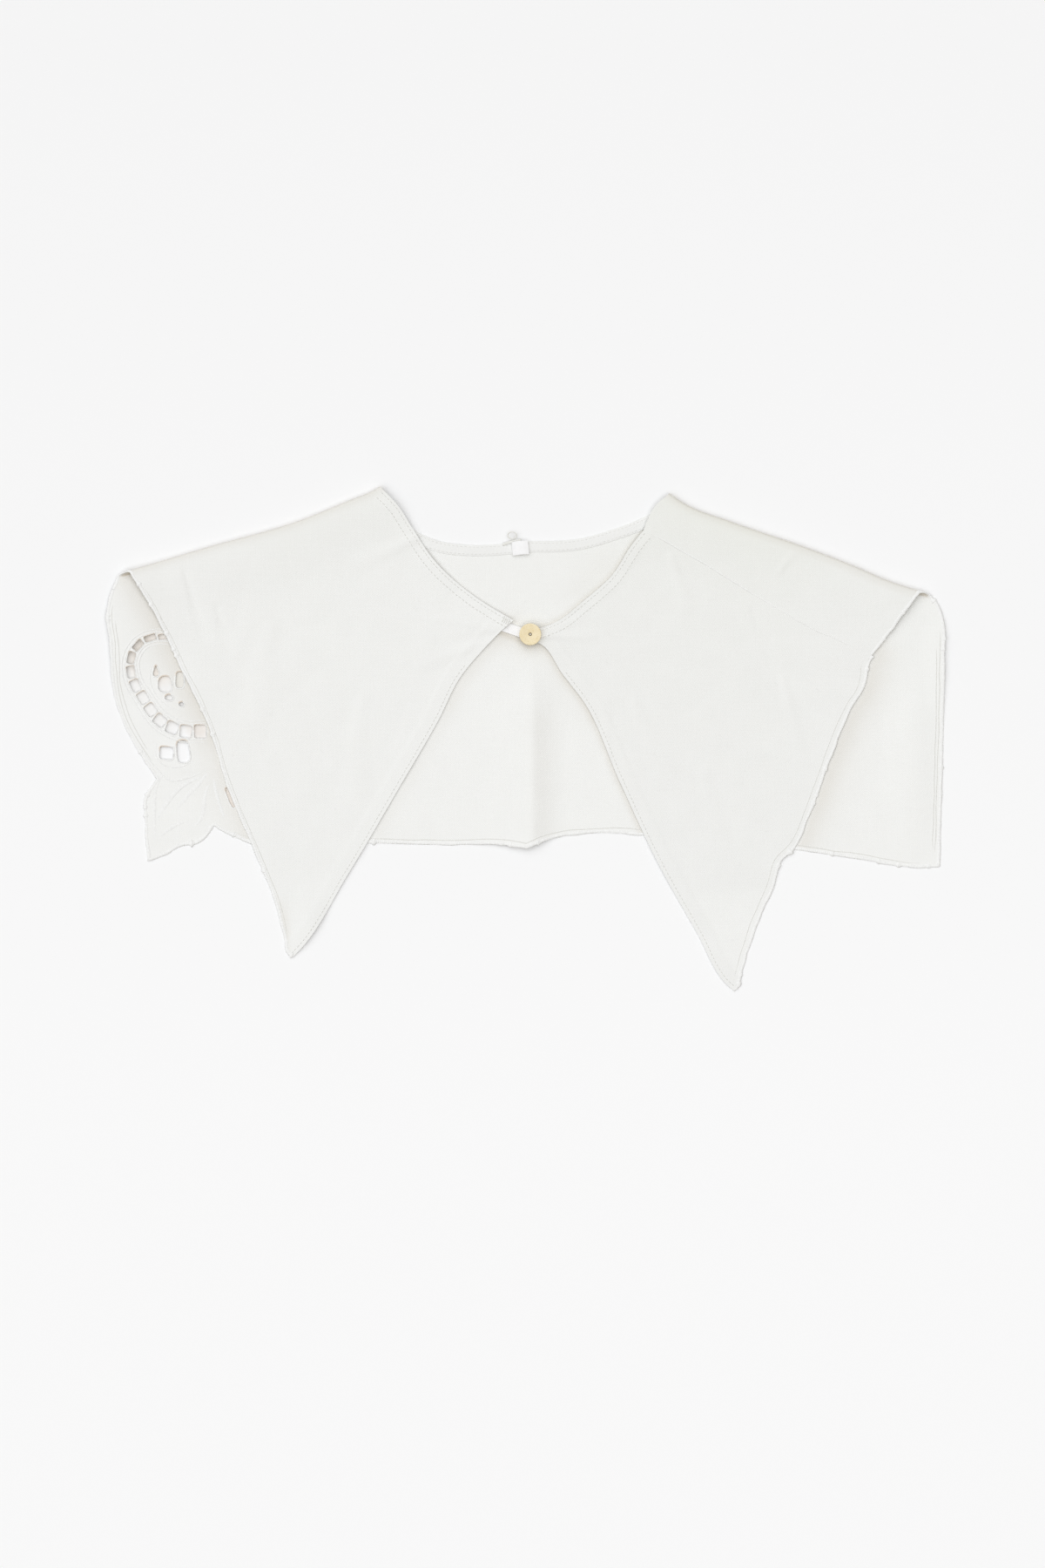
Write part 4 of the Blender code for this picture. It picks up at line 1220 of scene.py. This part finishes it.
# %% Neck facing
FACING_WIDTH = 6.0
FACING_INSET = 0.4
FACING_FROM = 0.03
FACING_TO = 0.96
FACING_WALL = 0.36
FACING_LIFT = 0.43
FACING_SWELL = 0.22
FACING_SUNK = 0.1
FAR_AWAY = np.array([(0.0, 900.0), (1.0, 900.0)])


def on_facing(plan):
    """Points on the upper face of the facing."""
    return raised(plan, lower_height(plan) + FACING_LIFT + FACING_WALL / 2)


facing_outer = shifted(spaced(back_neck, 180, FACING_FROM, FACING_TO), -FACING_INSET)
steps = np.linspace(0, 1, 11)
facing_plan = np.stack([shifted(facing_outer, -step * (FACING_WIDTH - FACING_INSET)) for step in steps])
crown = FACING_SWELL * (1 - np.abs(2 * steps - 1)**6)[:, None]
facing_height = lower_height(facing_plan) + FACING_LIFT + crown - FACING_SUNK
facing = cloth_panel("neck_facing_strip", [raised(facing_plan, facing_height)], FAR_AWAY, back_cloth,
                     FACING_WALL)
facing_stitches = sewn("facing_topstitching", on_facing,
                       [(facing_outer, -0.8, 31), (facing_outer, -4.7, 32)])

# %% [markdown]
# A blank label and a small cord loop sit on the facing. The label is a folded bit of ribbon: the grid
# runs down its top, round the fold and back underneath. The loop is a closed ring of round cord, and
# a flat foot of the same cord joins it to the facing. The foot and the loop's darker thread are partly
# the sewn base and partly painted shade where the loop's base is in shadow.

# %% Label and hanging loop
LABEL_CENTRE = (-2.9, 104.5)
LABEL_SIZE = (9.0, 7.6)
LABEL_TURN = 6.0
LABEL_FOLD = 0.35
LABEL_HEIGHT = 1.75
LABEL_WALL = 0.3
# Bends of the ribbon across its width: size, how fast, where it starts
LABEL_BOW = (0.25, 0.35)
LABEL_WAVE = (0.16, 0.7, 0.6)
LOOP_CENTRE = (-7.4, 111.5)
LOOP_SIZE = (2.5, 1.9)
LOOP_CORD = 0.6
LOOP_RISE = 0.1
# The foot lies along the shadowed base of the loop: partly sewn cord, partly painted shade
LOOP_FOOT = [(-12.6, 106.6), (-9.5, 107.5), (-5.5, 108.6), (-2.4, 109.0)]
FOOT_SIZE = (1.4, 0.45)
FOOT_HEIGHT = 1.25

half = LABEL_SIZE[1] / 2
bend = np.linspace(math.pi / 2, -math.pi / 2, 7)
profile = [(y, LABEL_FOLD) for y in np.linspace(half, -half + LABEL_FOLD, 10)]
profile += [(-half + LABEL_FOLD - LABEL_FOLD * math.cos(a), LABEL_FOLD * math.sin(a)) for a in bend[1:]]
profile += [(y, -LABEL_FOLD) for y in np.linspace(-half + LABEL_FOLD, half, 10)[1:]]
profile = np.array(profile)
widths = np.linspace(-LABEL_SIZE[0] / 2, LABEL_SIZE[0] / 2, 15)
tilt = math.radians(LABEL_TURN)
x = widths[None, :] + 0 * profile[:, :1]
y = profile[:, :1] + LABEL_BOW[0] * np.cos(widths * LABEL_BOW[1])[None, :]
z = profile[:, 1:] + LABEL_WAVE[0] * np.sin(widths * LABEL_WAVE[1] + LABEL_WAVE[2])[None, :] + LABEL_HEIGHT
label_grid = np.stack([LABEL_CENTRE[0] + x * math.cos(tilt) - y * math.sin(tilt),
                       LABEL_CENTRE[1] + x * math.sin(tilt) + y * math.cos(tilt), z], axis=-1)


def ribbon_panel(name, grid, thickness):
    """A piece of ribbon, with a UV map in metres from the grid's first point."""
    made = cloth_panel(name, [grid], FAR_AWAY, white_ribbon, thickness)
    return run_map(made, places_of(made)[:, :2] - grid[0, 0, :2] * MM)


label = ribbon_panel("folded_label", label_grid, LABEL_WALL)
angles = np.linspace(0, 2 * math.pi, 48, endpoint=False)
loop_plan = LOOP_CENTRE + LOOP_SIZE * np.stack([np.cos(angles), np.sin(angles)], axis=1)
loop_track = raised(loop_plan, np.full(len(loop_plan), LABEL_HEIGHT + LOOP_RISE))
foot_plan = spaced(smooth(LOOP_FOOT), 24)
foot_track = raised(foot_plan, np.full(len(foot_plan), FOOT_HEIGHT))
loop = joined_cords("loop_cord", [(cord_rings(loop_track, LOOP_CORD, LOOP_CORD, 12, True), True),
                                  (cord_rings(foot_track, *FOOT_SIZE, 12), False)], dull_thread)
print("label faces:", len(label.data.polygons), " loop faces:", len(loop.data.polygons))

# %% [markdown]
# The button tab is a short white ribbon that comes out from under the left front and ends under the
# button. It climbs onto the right front, so its grid follows a soft step, and its long edges stand up
# a little, as woven selvedges do. A bar tack of four stitches holds it on the left front.

# %% Button tab
TAB_START = (-18.0, 63.5)
TAB_END = (2.6, 56.4)
TAB_WIDTH = 5.4
TAB_OVERRUN = 4.0
TAB_HOLE_RADIUS = 1.7
TAB_RISE = (13.0, 19.0)
TAB_WALL = 0.4
TAB_TOP = 2.2
TAB_SELVEDGE = 0.12
BUTTON_CENTRE = (2.6, 57.0)
PUNCH_REACH = 10.0
# The bar tack: its middle, the way it runs, the way its stitches run and their half length
TACK_CENTRE = np.array([-10.8, 64.6])
TACK_RUN = 1.1 * np.array([0.88, -0.47])
TACK_STITCH = 1.7 * np.array([0.40, 0.92])
TACK_HEIGHTS = np.array([-0.15, 0.06, 0.1, 0.06, -0.15])
TACK_THREAD = (0.55, 0.4)


def cylinder(radius, foot, top, sides):
    """An upright cylinder in the middle of the button, between two heights."""
    bpy.ops.object.select_all(action="DESELECT")
    bpy.ops.mesh.primitive_cylinder_add(
        vertices=sides, radius=radius * MM, depth=(top - foot) * MM,
        location=(BUTTON_CENTRE[0] * MM, BUTTON_CENTRE[1] * MM, (foot + top) / 2 * MM))
    return bpy.context.object


tab_start, tab_end = np.array(TAB_START), np.array(TAB_END)
tab_reach = np.linalg.norm(tab_end - tab_start)
tab_run = (tab_end - tab_start) / tab_reach
tab_side = np.array([-tab_run[1], tab_run[0]])
along = np.linspace(0, tab_reach + TAB_OVERRUN, 61)
over = np.linspace(-1, 1, 13)[:, None]
tab_plan = tab_start + tab_run * along[:, None] + over[..., None] * tab_side * TAB_WIDTH / 2
tab_low = (LAYER + WALL + TAB_WALL) / 2 + LAYER_GAP
tab_height = tab_low + (TAB_TOP - TAB_WALL / 2 - tab_low) * ease(along, *TAB_RISE)
tab = ribbon_panel("tab_ribbon", raised(tab_plan, tab_height + TAB_SELVEDGE * over**8), TAB_WALL)
cut_away(tab, cylinder(TAB_HOLE_RADIUS, -PUNCH_REACH, PUNCH_REACH, 24))
bars = []
for step in (-1.5, -0.5, 0.5, 1.5):
    plan = TACK_CENTRE + step * TACK_RUN + np.linspace(-1, 1, 5)[:, None] * TACK_STITCH
    track = on_left(plan) + TACK_HEIGHTS[:, None] * (0, 0, 1)
    bars.append((cord_rings(track, *TACK_THREAD, 8), False))
bar_tack = joined_cords("bar_tack", bars, sewing_thread)
print("tab length in mm:", round(tab_reach + TAB_OVERRUN, 1))

# %% [markdown]
# The button is turned from one piece, with a low rim, a shallow dish and a hole. It starts as a
# cylinder. Insets on its top make the rim and the dish, the caps of the hole are deleted and bridged,
# and a bevel softens every edge.

# %% Button
BUTTON_RADIUS = 6.0
BUTTON_THICKNESS = 2.4
BUTTON_HOLE_RADIUS = 0.9
BUTTON_SEAT = 2.3
BUTTON_RIM = 0.8
DISH_SLOPE = 0.9
DISH_DEPTH = 0.22
FOOT_RIM = 0.7
SOFT_EDGE = 0.28


def pick_faces(piece, test):
    """Selects the faces of a piece in edit mode that pass a test, and nothing else."""
    bpy.ops.mesh.select_mode(type="FACE")
    bpy.ops.mesh.select_all(action="DESELECT")
    bm = bmesh.from_edit_mesh(piece.data)
    for face in bm.faces:
        face.select_set(test(face))
    bmesh.update_edit_mesh(piece.data)
    return sum(face.select for face in bm.faces)


def settled(piece, material):
    """Moves a piece's place into its mesh and gives it its material."""
    bpy.ops.object.mode_set(mode="OBJECT")
    bpy.ops.object.select_all(action="DESELECT")
    piece.select_set(True)
    bpy.context.view_layer.objects.active = piece
    bpy.ops.object.transform_apply(location=True, rotation=True, scale=True)
    piece.data.materials.clear()
    piece.data.materials.append(material)
    bpy.ops.object.shade_smooth_by_angle(angle=SHARP_FROM)
    return piece


button = cylinder(BUTTON_RADIUS, BUTTON_SEAT, BUTTON_SEAT + BUTTON_THICKNESS, 64)
button.name = "dished_button"
bpy.ops.object.mode_set(mode="EDIT")
pick_faces(button, lambda face: face.normal.z > 0.9)
bpy.ops.mesh.inset(thickness=BUTTON_RIM * MM, depth=0)
bpy.ops.mesh.inset(thickness=DISH_SLOPE * MM, depth=-DISH_DEPTH * MM)
dish = BUTTON_RADIUS - BUTTON_RIM - DISH_SLOPE - BUTTON_HOLE_RADIUS
bpy.ops.mesh.inset(thickness=dish * MM, depth=0)
pick_faces(button, lambda face: face.normal.z < -0.9)
bpy.ops.mesh.inset(thickness=FOOT_RIM * MM, depth=0)
bpy.ops.mesh.inset(thickness=(BUTTON_RADIUS - FOOT_RIM - BUTTON_HOLE_RADIUS) * MM, depth=0)
caps = pick_faces(button, lambda face: len(face.verts) > 8)
bpy.ops.mesh.delete(type="ONLY_FACE")
bm = bmesh.from_edit_mesh(button.data)
bpy.ops.mesh.select_mode(type="EDGE")
bpy.ops.mesh.select_all(action="DESELECT")
for edge in bm.edges:
    edge.select_set(len(edge.link_faces) == 1)
bmesh.update_edit_mesh(button.data)
bpy.ops.mesh.bridge_edge_loops()
bpy.ops.mesh.select_all(action="SELECT")
bpy.ops.mesh.normals_make_consistent(inside=False)
bpy.ops.object.mode_set(mode="OBJECT")
soft = button.modifiers.new("soft edges", "BEVEL")
soft.width = SOFT_EDGE * MM
soft.segments = 3
soft.limit_method = "ANGLE"
soft.angle_limit = math.radians(20)
apply_all(button)
settled(button, cream_button)
print("caps opened:", caps, " button faces:", len(button.data.polygons))

# %% [markdown]
# A pin through the hole holds the button to the right front. It is a thin rod with a domed head, made
# from a cylinder whose top edge is bevelled until little of its flat end is left.

# %% Pin
PIN_RADIUS = 0.55
PIN_FOOT = 1.25
PIN_TOP = 4.57
PIN_DOME = 0.5

pin = cylinder(PIN_RADIUS, PIN_FOOT, PIN_TOP, 32)
pin.name = "domed_pin"
bpy.ops.object.mode_set(mode="EDIT")
pick_faces(pin, lambda face: face.normal.z > 0.9)
bpy.ops.mesh.bevel(offset=PIN_DOME * MM, segments=5, affect="EDGES")
settled(pin, dull_pin)
print("pin faces:", len(pin.data.polygons))

# %% [markdown]
# Every piece rides on the one body, and those that dress a solid replace it, which is hidden. The
# sheets are listed with the size they were cut to, which is the size of the flat panel, as most of
# the collar is flat; nothing here reads these sizes.

# %% Pieces on the body
sheets = {back_panel: ("back", (0.47, 0.22), 0.0795), left_panel: ("front_left", (0.24, 0.26), 0.0276),
          right_panel: ("front_right", (0.2, 0.26), 0.0224),
          facing: ("neck_facing", (0.155, 0.01), 0.0009)}
trimmings = {back_panel: [back_hem, satin_edges, raised_lines, back_stitches],
             left_panel: [left_rolled_hem, left_stitches],
             right_panel: [right_rolled_hem, right_stitches, right_ridge], facing: [facing_stitches]}
for piece, (node, flat, area) in sheets.items():
    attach(piece, "root")
    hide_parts(node)
    rest = [] if piece == back_panel else ["back_panel"]
    "folded" if piece in (back_panel, left_panel) else "laid"
    for trimming in trimmings[piece]:
        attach(trimming, "root")
small = {label: ("label", "ribbon"), loop: ("hanging_loop", "ribbon"), tab: ("button_tab", "ribbon"),
         button: ("button", "button"), pin: ("button_pin", "pin")}
for piece, (node, slot) in small.items():
    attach(piece, "root")
    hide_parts(node)
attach(bar_tack, "root")
